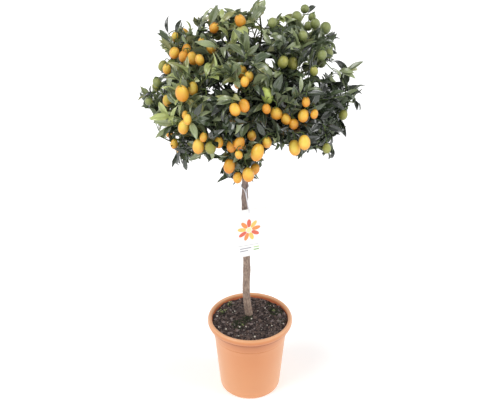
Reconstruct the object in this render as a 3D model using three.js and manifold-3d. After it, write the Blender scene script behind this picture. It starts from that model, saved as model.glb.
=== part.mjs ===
// A kumquat grown as a standard in a rolled-rim pot: a bare stem of about 45 cm with a round head of
// evergreen leaves and small oval fruit. Millimetres, +Z up, origin in the middle of the pot's flat underside.
import * as THREE from "three";
import { mergeVertices } from "three/addons/utils/BufferGeometryUtils.js";
import Module from "manifold-3d";

const wasm = await Module();
wasm.setup();

// ---------------------------------------------------------------- driving dimensions
const GAP = 0.3; // clearance between two pieces that touch on the real plant

const POT = {
  height: 212,
  rimRadius: 110,
  rimInnerRadius: 99,
  rimDepth: 13,
  footRadius: 79.5,
  neckRadius: 96.5,
  collarDepth: 19,
  collarStep: 1.4,
  wall: 3,
  floor: 4,
  footRound: 5,
  sides: 36,
  drainHoles: 4,
  drainRadius: 6,
  drainCircle: 52,
};
const SOIL = { top: 206, edgeDrop: 6.5, flatRadius: 34 };
const TRUNK = {
  top: 668,
  footRadius: 10.2,
  topRadius: 6.6,
  flare: 1.6,
  flareHeight: 14,
  buried: 6, // how far its axis starts below the flat cut at the soil
  sides: 9,
  rings: 15,
  // the axis: how far it wanders from the pot's middle, at even steps from the soil to the fork
  wander: [[-2, 15], [-9.5, 8], [-8.2, 4], [-9.8, 1], [-12.6, -1], [-12, 0], [-10.5, 1]],
  knots: [{ height: 350, swell: 0.9 }, { height: 558, swell: 1.1 }],
  knotLength: 9,
};
const CROWN = { heart: [0, 0, 818], halfWidth: 250, halfHeight: 198, reach: 1.03 };
const BOUGH = { primary: [4.8, 2.8], secondary: [3.2, 2.3], sides: 5, rings: 5, entry: 0.6 };
const STEM = { radius: [2.8, 2], sides: 3, rings: 3, length: 0.9, lift: 0.05 };
// angle, from and to run from the first twig of a stem, or leaf of a twig, to the last
const TWIG = {
  perMass: 6,
  radius: [1.6, 1.2],
  rings: 1,
  from: 0.25,
  to: 1,
  angle: [80, 20],
  angleSwing: 10,
  length: 0.56,
  lastLength: 0.42,
  lengthSwing: 0.12,
  lift: 0.14,
  wander: 0.25,
};
const LEAF = {
  perTwig: 5,
  from: 0.25,
  to: 0.97,
  angle: [70, 26],
  angleSwing: 8,
  rollSwing: 0.6,
  length: 70,
  width: 33,
  sizeSwing: 0.12,
  widest: 0.46, // where it is widest, as a share of its length
  arch: 3,
  keel: 2,
  root: 0.7,
  tries: 12, // how often it is turned on to find a free place
  tryTurn: 0.6,
  tryAngle: 5,
};
const FRUIT = {
  length: 34,
  width: 27,
  sides: 5,
  shoulders: [[0.92, -0.48], [0.92, 0.42]], // shares of its half width and half length
  sunk: 1.6,
  from: 0.3,
  to: 1,
  tries: 14,
};
const CLEAR = { cell: 0.6, limb: 3 };
const TAG = {
  width: 90,
  height: 130,
  thickness: 0.8,
  corner: 5,
  centre: [-2.5, -20, 472],
  turn: 20, // how far its face is turned towards +X
  holeRadius: 3,
  holeInset: 8,
  strapRadius: 1,
  strapHeight: 589, // where the strap goes round the trunk
  strapRise: 4, // how much higher it lies behind than in front
  strapSteps: 30,
};
const SEED = 1701;

// The masses of foliage. heading is the compass angle seen from above (0 is +X, 90 is +Y), lift the angle above
// the heart of the crown, out the distance as a share of the crown's half sizes, spread the radius of the mass's
// own space. A mass is carried by the bough of its own name, which leaves the limb named in from, at a share of
// that limb's length.
const MASSES = [
  { name: "top", heading: 55, lift: 75, out: 0.79, spread: 84, fruit: 2, from: "trunk", at: 0.98 },
  { name: "left", heading: 176, lift: 1, out: 0.79, spread: 84, fruit: 3, from: "trunk", at: 0.95 },
  { name: "right", heading: -2, lift: -4, out: 0.79, spread: 82, fruit: 2, from: "trunk", at: 0.968 },
  { name: "front", heading: -92, lift: 26, out: 0.77, spread: 82, fruit: 5, from: "trunk", at: 0.985 },
  { name: "back", heading: 90, lift: -3, out: 0.79, spread: 92, fruit: 4, from: "trunk", at: 0.96 },
  { name: "bottom", heading: -96, lift: -66, out: 0.69, spread: 82, fruit: 6, from: "trunk", at: 0.93 },
  { name: "top_left", heading: 152, lift: 64, out: 0.79, spread: 82, fruit: 3, from: "top", at: 0.5 },
  { name: "top_right", heading: -10, lift: 54, out: 0.79, spread: 88, fruit: 7, from: "top", at: 0.4 },
  { name: "top_back", heading: 87, lift: 40, out: 0.74, spread: 88, fruit: 3, from: "top", at: 0.3 },
  { name: "upper_left", heading: -167, lift: 41, out: 0.79, spread: 92, fruit: 6, from: "left", at: 0.5 },
  { name: "lower_left", heading: -153, lift: -25, out: 0.77, spread: 86, fruit: 4, from: "left", at: 0.4 },
  { name: "low_side_left", heading: 163, lift: -39, out: 0.79, spread: 84, fruit: 3, from: "left", at: 0.62 },
  { name: "upper_right", heading: 16, lift: 27, out: 0.79, spread: 80, fruit: 3, from: "right", at: 0.5 },
  { name: "lower_right", heading: -28, lift: -31, out: 0.79, spread: 88, fruit: 2, from: "right", at: 0.4 },
  { name: "low_side_right", heading: 16, lift: -43, out: 0.79, spread: 88, fruit: 3, from: "right", at: 0.6 },
  { name: "front_left", heading: -130, lift: 21, out: 0.79, spread: 86, fruit: 4, from: "front", at: 0.5 },
  { name: "front_right", heading: -52, lift: 33, out: 0.79, spread: 88, fruit: 3, from: "front", at: 0.66 },
  { name: "low_front_right", heading: -66, lift: -11, out: 0.71, spread: 90, fruit: 8, from: "front", at: 0.3 },
  { name: "low_front_left", heading: -110, lift: -19, out: 0.70, spread: 88, fruit: 4, from: "front", at: 0.22 },
  { name: "back_left", heading: 140, lift: 22, out: 0.75, spread: 92, fruit: 3, from: "back", at: 0.45 },
  { name: "back_right", heading: 50, lift: 13, out: 0.78, spread: 88, fruit: 4, from: "back", at: 0.58 },
  { name: "low_back_left", heading: 124, lift: -24, out: 0.76, spread: 88, fruit: 3, from: "back", at: 0.25 },
  { name: "low_back_right", heading: 59, lift: -31, out: 0.79, spread: 90, fruit: 3, from: "back", at: 0.34 },
];

// What each seeded draw is for: the last number of its address.
const DRAW = {
  stem: 90,
  twigTurn: 91,
  twigAngle: 92,
  twigLength: 93,
  twigPath: 94,
  leafTurn: 95,
  leafAngle: 96,
  leafSize: 97,
  leafRoll: 98,
  fruitPlace: 99,
  fruitTwig: 101,
};

// ---------------------------------------------------------------- small helpers
const UP = new THREE.Vector3(0, 0, 1);
const TURN = 2 * Math.PI;
const radians = THREE.MathUtils.degToRad;
const lerp = THREE.MathUtils.lerp;
const GOLDEN = radians(137.5);

// A repeatable number from 0 to 1 for an address such as (mass, twig, leaf, use).
function chance(...address) {
  let h = SEED;
  for (const part of address) {
    h = Math.imul(h ^ (part + 1), 0x9e3779b1);
    h ^= h >>> 15;
  }
  h = Math.imul(h ^ (h >>> 13), 0x85ebca6b);
  h ^= h >>> 16;
  return (h >>> 0) / 4294967296;
}

// The same, from -1 to 1.
const swing = (...address) => 2 * chance(...address) - 1;

// A unit vector square to direction, turned by angle round it from the one that lies nearest to up.
function sideways(direction, angle) {
  const across = new THREE.Vector3().crossVectors(direction, UP);
  if (across.length() < 1e-3) across.set(1, 0, 0);
  return across.normalize().applyAxisAngle(direction, angle);
}

function solidFrom(geometry) {
  const bare = new THREE.BufferGeometry().setAttribute("position", geometry.getAttribute("position"));
  bare.setIndex(geometry.getIndex());
  const merged = mergeVertices(bare, 1e-3);
  return new wasm.Manifold(
    new wasm.Mesh({
      numProp: 3,
      vertProperties: new Float32Array(merged.getAttribute("position").array),
      triVerts: new Uint32Array(merged.getIndex().array),
    }),
  );
}

function geometryFrom(solid) {
  const mesh = solid.getMesh();
  const geometry = new THREE.BufferGeometry();
  geometry.setAttribute("position", new THREE.BufferAttribute(new Float32Array(mesh.vertProperties), 3));
  geometry.setIndex(new THREE.BufferAttribute(new Uint32Array(mesh.triVerts), 1));
  geometry.computeVertexNormals();
  return geometry;
}

// A tapering round limb along a path, closed with a flat cut at its foot and at its tip.
function limbGeometry(path, radii, sides) {
  const positions = [];
  const faces = [];
  const last = path.length - 1;
  let normal = null;
  path.forEach((point, i) => {
    const along = path[Math.min(i + 1, last)].clone().sub(path[Math.max(i - 1, 0)]).normalize();
    normal = normal ? normal.addScaledVector(along, -normal.dot(along)).normalize() : sideways(along, 0);
    const binormal = new THREE.Vector3().crossVectors(along, normal);
    for (let k = 0; k < sides; k++) {
      const angle = (2 * Math.PI * k) / sides;
      const rim = point.clone().addScaledVector(normal, radii[i] * Math.cos(angle));
      positions.push(...rim.addScaledVector(binormal, radii[i] * Math.sin(angle)).toArray());
    }
  });
  for (let i = 0; i < last; i++) {
    for (let k = 0; k < sides; k++) {
      const [a, b] = [i * sides + k, i * sides + ((k + 1) % sides)];
      faces.push(a, b, b + sides, a, b + sides, a + sides);
    }
  }
  for (let k = 1; k < sides - 1; k++) {
    faces.push(0, k + 1, k);
    faces.push(last * sides, last * sides + k, last * sides + k + 1);
  }
  const geometry = new THREE.BufferGeometry();
  geometry.setAttribute("position", new THREE.Float32BufferAttribute(positions, 3));
  geometry.setIndex(faces);
  return geometry;
}

// The largest body of a solid, with sealed hollows filled and loose scraps dropped.
function onePiece(solid) {
  return solid.decompose().reduce((a, b) => (b.volume() > a.volume() ? b : a));
}

// ---------------------------------------------------------------- materials
const material = (name, color, roughness) => {
  const made = new THREE.MeshStandardMaterial({ color, roughness, metalness: 0 });
  made.name = name;
  return made;
};
const MATERIALS = {
  pot: material("terracotta_plastic", "#dd9a6c", 0.5),
  soil: material("potting_soil", "#352b29", 0.95),
  bark: material("bark", "#8d7a6b", 0.9),
  foliage: material("foliage", "#3c5a35", 0.42),
  card: material("label_card", "#f6f6f4", 0.4),
  strap: material("label_strap", "#ece8ea", 0.35),
};

const tree = new THREE.Group();

function addNode(name, geometry, finish) {
  const mesh = new THREE.Mesh(geometry, finish);
  mesh.name = name;
  tree.add(mesh);
  return mesh;
}

// ---------------------------------------------------------------- pot: a tapered tub with a rolled rim
function potOuterRadius(z) {
  return lerp(POT.footRadius, POT.neckRadius, z / (POT.height - POT.rimDepth));
}

function potInnerRadius(z) {
  return potOuterRadius(z) - POT.wall;
}

function potProfile() {
  const points = [new THREE.Vector2(0, 0)];
  const rimBottom = POT.height - POT.rimDepth;
  const collarBottom = rimBottom - POT.collarDepth;
  for (let i = 0; i <= 2; i++) {
    const a = radians(-90 + 45 * i);
    const x = POT.footRadius - POT.footRound * (1 - Math.cos(a));
    points.push(new THREE.Vector2(x, POT.footRound * (1 + Math.sin(a))));
  }
  points.push(new THREE.Vector2(potOuterRadius(collarBottom), collarBottom));
  const collarRadius = potOuterRadius(collarBottom) + POT.collarStep;
  points.push(new THREE.Vector2(collarRadius, collarBottom + POT.collarStep));
  points.push(new THREE.Vector2(potOuterRadius(rimBottom) + POT.collarStep, rimBottom));
  // the rim rolls outwards and back over to its inner edge
  const roll = POT.rimDepth / 2;
  for (let i = 0; i <= 4; i++) {
    const a = radians(-70 + 40 * i);
    const x = POT.rimRadius - roll + roll * Math.cos(a);
    points.push(new THREE.Vector2(x, POT.height - roll + roll * Math.sin(a)));
  }
  points.push(new THREE.Vector2(POT.rimInnerRadius, POT.height - 1.5));
  points.push(new THREE.Vector2(potInnerRadius(SOIL.top), POT.height - POT.rimDepth));
  points.push(new THREE.Vector2(potInnerRadius(POT.floor), POT.floor));
  points.push(new THREE.Vector2(0, POT.floor));
  return points;
}

function makePot() {
  let pot = solidFrom(standing(new THREE.LatheGeometry(potProfile(), POT.sides)));
  for (let i = 0; i < POT.drainHoles; i++) {
    const angle = (2 * Math.PI * i) / POT.drainHoles;
    const hole = new THREE.CylinderGeometry(POT.drainRadius, POT.drainRadius, 4 * POT.floor, 8);
    hole.rotateX(Math.PI / 2);
    hole.translate(POT.drainCircle * Math.cos(angle), POT.drainCircle * Math.sin(angle), 0);
    pot = pot.subtract(solidFrom(hole));
  }
  addNode("pot", geometryFrom(pot), MATERIALS.pot);
}

// three.js turns a lathe round +Y; the part stands on +Z.
function standing(geometry) {
  return geometry.rotateX(Math.PI / 2);
}

// ---------------------------------------------------------------- soil: fills the pot to just under the rim
function makeSoil() {
  const profile = [
    new THREE.Vector2(0, POT.floor + GAP),
    new THREE.Vector2(potInnerRadius(POT.floor) - GAP, POT.floor + GAP),
    new THREE.Vector2(potInnerRadius(SOIL.top - SOIL.edgeDrop) - 3 * GAP, SOIL.top - SOIL.edgeDrop - GAP),
    new THREE.Vector2(SOIL.flatRadius, SOIL.top - GAP),
    new THREE.Vector2(0, SOIL.top - GAP),
  ];
  const soil = standing(new THREE.LatheGeometry(profile, 24));
  addNode("soil", geometryFrom(solidFrom(soil)), MATERIALS.soil);
}

// ---------------------------------------------------------------- limbs: the trunk and the boughs
// A limb keeps its curve, its radius, its collar and its end. The collar is the same limb, fatter and longer by
// the gap, that cuts the limbs after it, and the end is where what it carries starts.
const limbs = new Map();

const trunkCurve = new THREE.CatmullRomCurve3(
  TRUNK.wander.map(([x, y], i) => {
    const share = i / (TRUNK.wander.length - 1);
    return new THREE.Vector3(x, y, lerp(SOIL.top - TRUNK.buried, TRUNK.top, share));
  }),
  false,
  "catmullrom",
  0.5,
);

function trunkRadius(share) {
  const z = lerp(SOIL.top - TRUNK.buried, TRUNK.top, share);
  const flare = TRUNK.flare * Math.exp(-(z - SOIL.top) / TRUNK.flareHeight);
  const swell = TRUNK.knots.reduce(
    (sum, knot) => sum + knot.swell * Math.exp(-(((z - knot.height) / TRUNK.knotLength) ** 2)),
    0,
  );
  return lerp(TRUNK.footRadius, TRUNK.topRadius, share) + flare + swell;
}

function addLimb(name, curve, radiusAt, sides, rings, parent) {
  const shares = Array.from({ length: rings + 1 }, (_, i) => i / rings);
  const path = shares.map((s) => curve.getPoint(s));
  let solid = solidFrom(limbGeometry(path, shares.map(radiusAt), sides));
  const heading = path[rings].clone().sub(path[rings - 1]).normalize();
  path[rings].addScaledVector(heading, GAP);
  const collar = solidFrom(limbGeometry(path, shares.map((s) => radiusAt(s) + GAP), sides));
  if (parent) {
    for (const other of limbs.values()) {
      solid = onePiece(solid.subtract(other.collar));
    }
  } else {
    solid = solid.trimByPlane([0, 0, 1], SOIL.top);
  }
  limbs.set(name, { curve, radiusAt, collar, end: { point: path[rings], direction: heading } });
  addNode(parent ? "bough_" + name : name, geometryFrom(solid), MATERIALS.bark);
}

// Where a mass has its middle, from its heading, lift and distance.
function massCentre(mass) {
  const [heading, lift] = [radians(mass.heading), radians(mass.lift)];
  return new THREE.Vector3(
    CROWN.heart[0] + CROWN.halfWidth * mass.out * Math.cos(lift) * Math.cos(heading),
    CROWN.heart[1] + CROWN.halfWidth * mass.out * Math.cos(lift) * Math.sin(heading),
    CROWN.heart[2] + CROWN.halfHeight * mass.out * Math.sin(lift),
  );
}

// A bough leaves its parent half along it and half towards its mass, and runs in pointing at the mass's middle.
function boughCurve(mass) {
  const parent = limbs.get(mass.from).curve;
  const root = parent.getPoint(mass.at);
  const aim = mass.centre.clone().sub(root);
  const heading = aim.clone().normalize();
  const leaving = parent.getTangent(mass.at).lerp(heading, 0.5).normalize();
  const entering = heading.clone().addScaledVector(UP, mass.lift > 0 ? -0.15 : 0.1).normalize();
  const tip = mass.centre.clone().addScaledVector(entering, -BOUGH.entry * mass.spread);
  const handle = tip.distanceTo(root) / 3;
  return new THREE.CubicBezierCurve3(
    root,
    root.clone().addScaledVector(leaving, handle),
    tip.clone().addScaledVector(entering, -handle),
    tip,
  );
}

function makeLimbs() {
  addLimb("trunk", trunkCurve, trunkRadius, TRUNK.sides, TRUNK.rings, null);
  for (const mass of MASSES) {
    mass.centre = massCentre(mass);
    const radii = mass.from === "trunk" ? BOUGH.primary : BOUGH.secondary;
    const radiusAt = (share) => lerp(radii[0], radii[1], share);
    addLimb(mass.name, boughCurve(mass), radiusAt, BOUGH.sides, BOUGH.rings, mass.from);
  }
}

// ---------------------------------------------------------------- foliage: one seeded rule for every mass
// A mass keeps to a round space that is cut flat half-way to each neighbour, so no two masses meet.
function inSpace(mass, point, margin = 0) {
  if (point.distanceTo(mass.centre) > mass.spread - margin) return false;
  const [x, y, z] = point.toArray().map((value, i) => value - CROWN.heart[i]);
  if (Math.hypot(x / CROWN.halfWidth, y / CROWN.halfWidth, z / CROWN.halfHeight) > CROWN.reach) return false;
  return MASSES.every((other) => {
    if (other === mass) return true;
    const between = other.centre.clone().sub(mass.centre);
    const half = between.length() / 2 + (mass.spread - other.spread) / 4;
    return point.clone().sub(mass.centre).dot(between.normalize()) < half - CLEAR.cell - margin;
  });
}

// A short run of points that starts out along direction, rises a little and strays at each step.
function growPath(start, direction, length, rings, lift, address) {
  const path = [start.clone()];
  const heading = direction.clone();
  for (let i = 0; i < rings; i++) {
    const stray = new THREE.Vector3(...[1, 2, 3].map((axis) => swing(...address, i, axis)));
    heading.addScaledVector(UP, lift).addScaledVector(stray, TWIG.wander).normalize();
    path.push(path[i].clone().addScaledVector(heading, length / rings));
  }
  return path;
}

// The stem of a mass carries straight on from its bough's end, then strays like any twig.
function growStem(mass, index) {
  const { point, direction } = limbs.get(mass.name).end;
  const step = (STEM.length * mass.spread) / STEM.rings;
  const second = point.clone().addScaledVector(direction, step);
  const rest = STEM.rings - 1;
  return [point, ...growPath(second, direction, step * rest, rest, STEM.lift, [index, DRAW.stem])];
}

// The point and direction at a share of a path's length.
function along(path, share) {
  const place = Math.min(share, 0.9999) * (path.length - 1);
  const i = Math.floor(place);
  const direction = path[i + 1].clone().sub(path[i]);
  return { point: path[i].clone().addScaledVector(direction, place - i), direction: direction.normalize() };
}

// A direction that leaves a twig at angle to it, turned round it to the given bearing.
function branching(direction, angle, bearing) {
  const side = sideways(direction, bearing);
  return direction.clone().multiplyScalar(Math.cos(angle)).addScaledVector(side, Math.sin(angle)).normalize();
}

// A leaf is a pointed blade, flat above and keeled along its midrib below: its root, the two edges and the keel
// at its widest place, and its tip. The root starts past the twig's middle, so the blade is well sunk in the bark.
function leafPoints(foot, direction, roll, size) {
  const across = sideways(direction, roll);
  const face = new THREE.Vector3().crossVectors(across, direction);
  const place = (forward, side, up) =>
    foot.clone().addScaledVector(direction, forward).addScaledVector(across, side).addScaledVector(face, up);
  const [length, half] = [LEAF.length * size, (LEAF.width * size) / 2];
  const widest = length * LEAF.widest;
  return [
    place(-LEAF.root, 0, 0),
    place(widest, half, LEAF.arch),
    place(widest, -half, LEAF.arch),
    place(widest, 0, LEAF.arch - LEAF.keel),
    place(length, 0, 0),
  ];
}

const LEAF_FACES = [0, 1, 2, 4, 2, 1, 0, 2, 3, 0, 3, 1, 4, 3, 2, 4, 1, 3];

function leafSolid(points) {
  const geometry = new THREE.BufferGeometry();
  geometry.setAttribute("position", new THREE.Float32BufferAttribute(points.flatMap((p) => p.toArray()), 3));
  geometry.setIndex(LEAF_FACES);
  return solidFrom(geometry);
}

// The places that a leaf is felt at when it is set among others: three on its midrib and its two edges.
function leafFeelers(points) {
  const [root, left, right, , tip] = points;
  const onRib = [0.35, 0.65, 0.95].map((share) => root.clone().lerp(tip, share));
  return [...onRib, left, right];
}

function fruitSolid(centre) {
  const [half, high] = [FRUIT.width / 2, FRUIT.length / 2];
  const shares = [[0, -1], ...FRUIT.shoulders, [0, 1]];
  const profile = shares.map(([x, y]) => new THREE.Vector2(half * x, high * y));
  const geometry = new THREE.LatheGeometry(profile, FRUIT.sides);
  return solidFrom(standing(geometry).translate(centre.x, centre.y, centre.z));
}

// Places along every limb, each with the radius there.
function limbPlaces() {
  return [...limbs.values()].flatMap(({ curve, radiusAt }) => {
    const count = Math.ceil(curve.getLength() / 4);
    const shares = Array.from({ length: count + 1 }, (_, i) => i / count);
    return shares.map((share) => ({ at: curve.getPoint(share), radius: radiusAt(share) }));
  });
}

function twigSolid(path, [thick, thin]) {
  const radii = path.map((_, i) => lerp(thick, thin, i / (path.length - 1)));
  return solidFrom(limbGeometry(path, radii, STEM.sides));
}

function meetsAny(solid, others) {
  return others.some((other) => !other.intersect(solid).isEmpty());
}

// Twigs leave the stem at even steps, each turned on from the last by the golden angle.
function growTwigs(mass, index, stem, wood, clearOfLimbs) {
  const twigs = [];
  for (let t = 0; t < TWIG.perMass; t++) {
    const step = t / (TWIG.perMass - 1);
    const foot = along(stem, lerp(TWIG.from, TWIG.to, step));
    const bearing = GOLDEN * t + TURN * chance(index, DRAW.twigTurn);
    const angle = radians(lerp(...TWIG.angle, step) + TWIG.angleSwing * swing(index, t, DRAW.twigAngle));
    const size = 1 + TWIG.lengthSwing * swing(index, t, DRAW.twigLength);
    const length = mass.spread * lerp(TWIG.length, TWIG.lastLength, step) * size;
    const direction = branching(foot.direction, angle, bearing);
    const path = growPath(foot.point, direction, length, TWIG.rings, TWIG.lift, [index, t, DRAW.twigPath]);
    const reaches = inSpace(mass, path[path.length - 1]) && clearOfLimbs(path.slice(1));
    if (reaches && !meetsAny(twigSolid(path, TWIG.radius), [wood])) twigs.push(path);
  }
  return twigs;
}

// One leaf of twig t at its place k, turned on until it is free of everything in taken, or null.
function growLeaf(mass, index, t, k, path, taken, clearOfLimbs) {
  const step = k / (LEAF.perTwig - 1);
  const foot = along(path, lerp(LEAF.from, LEAF.to, step));
  const roll = LEAF.rollSwing * swing(index, t, k, DRAW.leafRoll);
  const size = 1 + LEAF.sizeSwing * swing(index, t, k, DRAW.leafSize);
  for (let n = 0; n < LEAF.tries; n++) {
    const bearing = GOLDEN * (k + LEAF.tryTurn * n) + TURN * chance(index, t, DRAW.leafTurn);
    const swung = LEAF.angleSwing * swing(index, t, k, DRAW.leafAngle);
    const angle = radians(lerp(...LEAF.angle, step) + LEAF.tryAngle * n + swung);
    const points = leafPoints(foot.point, branching(foot.direction, angle, bearing), roll, size);
    const inside = points.slice(1).every((p) => inSpace(mass, p)) && clearOfLimbs(leafFeelers(points));
    if (!inside) continue;
    const leaf = leafSolid(points);
    if (!meetsAny(leaf, taken)) return leaf;
  }
  return null;
}

// Fruit hangs by its stalk end from the outer twigs of a mass, each clear of the ones before it.
function hangFruit(mass, index, twigs, clearOfLimbs) {
  const centres = [];
  const outward = mass.centre.clone().sub(new THREE.Vector3(...CROWN.heart)).normalize();
  const [half, high] = [FRUIT.width / 2, FRUIT.length / 2];
  const reaches = [[half, 0, 0], [-half, 0, 0], [0, half, 0], [0, -half, 0], [0, 0, high], [0, 0, -high]];
  for (let n = 0; n < FRUIT.tries * mass.fruit && centres.length < mass.fruit; n++) {
    const path = twigs[Math.floor(twigs.length * chance(index, n, DRAW.fruitTwig))];
    const foot = along(path, lerp(FRUIT.from, FRUIT.to, chance(index, n, DRAW.fruitPlace)));
    const centre = foot.point.clone().addScaledVector(UP, FRUIT.sunk - high);
    const ends = reaches.map((reach) => centre.clone().add(new THREE.Vector3(...reach)));
    if (centre.clone().sub(mass.centre).dot(outward) < 0) continue;
    if (!ends.every((p) => inSpace(mass, p)) || !clearOfLimbs(ends)) continue;
    if (centres.some((c) => c.distanceTo(centre) < FRUIT.width)) continue;
    centres.push(centre);
  }
  return centres;
}

// A mass is one body: its stem and twigs, its fruit, and the leaves that found a free place, in that order.
function makeMass(mass, index, places, wood) {
  const clearOfLimbs = (points) =>
    places.every(({ at, radius }) => points.every((p) => p.distanceTo(at) > radius + CLEAR.limb));
  const stem = growStem(mass, index);
  const twigs = growTwigs(mass, index, stem, wood, clearOfLimbs);
  const stemSolid = twigSolid(stem, STEM.radius);
  const twigSolids = twigs.map((path) => twigSolid(path, TWIG.radius));
  const hung = hangFruit(mass, index, twigs, clearOfLimbs).map(fruitSolid);
  twigs.forEach((path, t) => {
    const others = [wood, stemSolid, ...twigSolids.filter((_, i) => i !== t)];
    for (let k = 0; k < LEAF.perTwig; k++) {
      const leaf = growLeaf(mass, index, t, k, path, [...others, ...hung], clearOfLimbs);
      if (leaf) hung.push(leaf);
    }
  });
  const joined = wasm.Manifold.union([stemSolid, ...twigSolids, ...hung]).simplify(0.05);
  addNode("foliage_" + mass.name, geometryFrom(onePiece(solidFrom(geometryFrom(joined)))), MATERIALS.foliage);
}

// ---------------------------------------------------------------- label: a card hung on a loop round the trunk
function makeCard() {
  const [halfWidth, halfHeight] = [TAG.width / 2 - TAG.corner, TAG.height / 2 - TAG.corner];
  const outline = new THREE.Shape();
  outline.absarc(halfWidth, halfHeight, TAG.corner, 0, Math.PI / 2);
  outline.absarc(-halfWidth, halfHeight, TAG.corner, Math.PI / 2, Math.PI);
  outline.absarc(-halfWidth, -halfHeight, TAG.corner, Math.PI, 1.5 * Math.PI);
  outline.absarc(halfWidth, -halfHeight, TAG.corner, 1.5 * Math.PI, 2 * Math.PI);
  const hole = new THREE.Path();
  hole.absarc(0, TAG.height / 2 - TAG.holeInset, TAG.holeRadius, 0, 2 * Math.PI, true);
  outline.holes.push(hole);
  const card = new THREE.ExtrudeGeometry(outline, {
    depth: TAG.thickness,
    bevelEnabled: false,
    curveSegments: 3,
  });
  card.translate(0, 0, -TAG.thickness / 2).rotateX(Math.PI / 2);
  card.rotateZ(radians(TAG.turn)).translate(...TAG.centre);
  addNode("label_card", geometryFrom(solidFrom(card)), MATERIALS.card);
}

// The strap goes through the card's hole, up both sides of its face and round the back of the trunk.
function makeStrap() {
  const foot = SOIL.top - TRUNK.buried;
  const share = (TAG.strapHeight - foot) / (TRUNK.top - foot);
  const axis = trunkCurve.getPoint(share);
  const reach = trunkRadius(share) + TAG.strapRadius + 3 * GAP;
  const normal = new THREE.Vector3(0, -1, 0).applyAxisAngle(UP, radians(TAG.turn));
  const hole = new THREE.Vector3(...TAG.centre);
  hole.z += TAG.height / 2 - TAG.holeInset + TAG.holeRadius - TAG.strapRadius - 4 * GAP;
  const knot = new THREE.Vector3(axis.x + 2, axis.y - reach - 1, TAG.strapHeight - 12);
  const points = [
    hole,
    hole.clone().addScaledVector(normal, 3).addScaledVector(UP, 3),
    knot.clone().add(new THREE.Vector3(TAG.strapRadius + GAP, -1, 0)),
  ];
  for (let angle = -45; angle <= 225; angle += 45) {
    const a = radians(angle);
    const rise = TAG.strapRise * Math.sin(a);
    points.push(new THREE.Vector3(axis.x + reach * Math.cos(a), axis.y + reach * Math.sin(a), axis.z + rise));
  }
  points.push(knot.clone().add(new THREE.Vector3(-TAG.strapRadius - GAP, 0, 0)));
  points.push(hole.clone().addScaledVector(normal, -3).addScaledVector(UP, 3));
  const loop = new THREE.CatmullRomCurve3(points, true, "centripetal");
  const strap = new THREE.TubeGeometry(loop, TAG.strapSteps, TAG.strapRadius, 4, true);
  addNode("label_strap", geometryFrom(solidFrom(strap)), MATERIALS.strap);
}

makePot();
makeSoil();
makeLimbs();
const places = limbPlaces();
const wood = wasm.Manifold.union([...limbs.values()].map((limb) => limb.collar));
MASSES.forEach((mass, index) => makeMass(mass, index, places, wood));
makeCard();
makeStrap();

export default tree;
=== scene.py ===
import math
from itertools import combinations

import bpy
import numpy as np
from mathutils import Matrix, Quaternion, Vector, noise


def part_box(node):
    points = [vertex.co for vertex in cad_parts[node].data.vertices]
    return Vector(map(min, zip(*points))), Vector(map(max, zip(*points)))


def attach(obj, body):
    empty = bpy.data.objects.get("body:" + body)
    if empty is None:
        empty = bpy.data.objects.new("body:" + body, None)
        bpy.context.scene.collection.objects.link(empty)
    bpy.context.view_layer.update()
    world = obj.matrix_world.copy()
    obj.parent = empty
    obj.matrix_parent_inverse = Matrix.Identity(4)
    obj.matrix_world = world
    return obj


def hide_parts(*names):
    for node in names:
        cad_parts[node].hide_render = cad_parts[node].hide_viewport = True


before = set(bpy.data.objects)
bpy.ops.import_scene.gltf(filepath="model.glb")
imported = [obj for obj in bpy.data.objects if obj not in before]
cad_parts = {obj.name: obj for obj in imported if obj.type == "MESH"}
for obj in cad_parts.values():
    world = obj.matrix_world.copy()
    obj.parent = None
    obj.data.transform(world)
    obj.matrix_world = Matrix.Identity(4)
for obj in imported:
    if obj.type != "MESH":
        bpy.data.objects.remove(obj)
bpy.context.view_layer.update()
UP = Vector((0, 0, 1))


# ------------------------------------------------------------------------------ camera, floor and light
# A studio with a seamless pale floor and soft light from all round, a little stronger from high on the left.
# The camera stands above the crown's height and looks down at the tree.
VIEW_WIDTH, VIEW_HEIGHT = 500, 400  # in picture points, like every place in the camera's view
VIEW_FOCAL = 764.0  # the focal length, in the same points
camera_place = Vector((0, -1.625, 1.396))
camera_pitch = math.radians(27.47)

view_right = Vector((1, 0, 0))
view_up = Vector((0, math.sin(camera_pitch), math.cos(camera_pitch)))
view_forward = Vector((0, math.cos(camera_pitch), -math.sin(camera_pitch)))


def placed(name, data):
    """A new object in the scene."""
    thing = bpy.data.objects.new(name, data)
    bpy.context.scene.collection.objects.link(thing)
    return thing


camera_data = bpy.data.cameras.new("camera")
camera_data.sensor_width = 36
camera_data.lens = VIEW_FOCAL * camera_data.sensor_width / VIEW_WIDTH
camera = placed("camera", camera_data)
camera.location = camera_place
camera.rotation_euler = (math.pi / 2 - camera_pitch, 0, 0)
bpy.context.scene.camera = camera
bpy.context.scene.view_settings.view_transform = "Standard"


def in_view(points):
    """Where points fall in the camera's view, as rows of (x, y), and how far off each is."""
    offsets = np.array(points) - np.array(camera_place)
    depth = offsets @ np.array(view_forward)
    x = VIEW_WIDTH / 2 + VIEW_FOCAL * (offsets @ np.array(view_right)) / depth
    y = VIEW_HEIGHT / 2 - VIEW_FOCAL * (offsets @ np.array(view_up)) / depth
    return np.stack([x, y], axis=-1), depth


def linear(red, green, blue):
    """A colour given as it looks on screen, 0 to 255, as the linear values that a shader takes."""
    shares = [value / 255 for value in (red, green, blue)]
    return [s / 12.92 if s <= 0.04045 else ((s + 0.055) / 1.055) ** 2.4 for s in shares] + [1]


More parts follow.
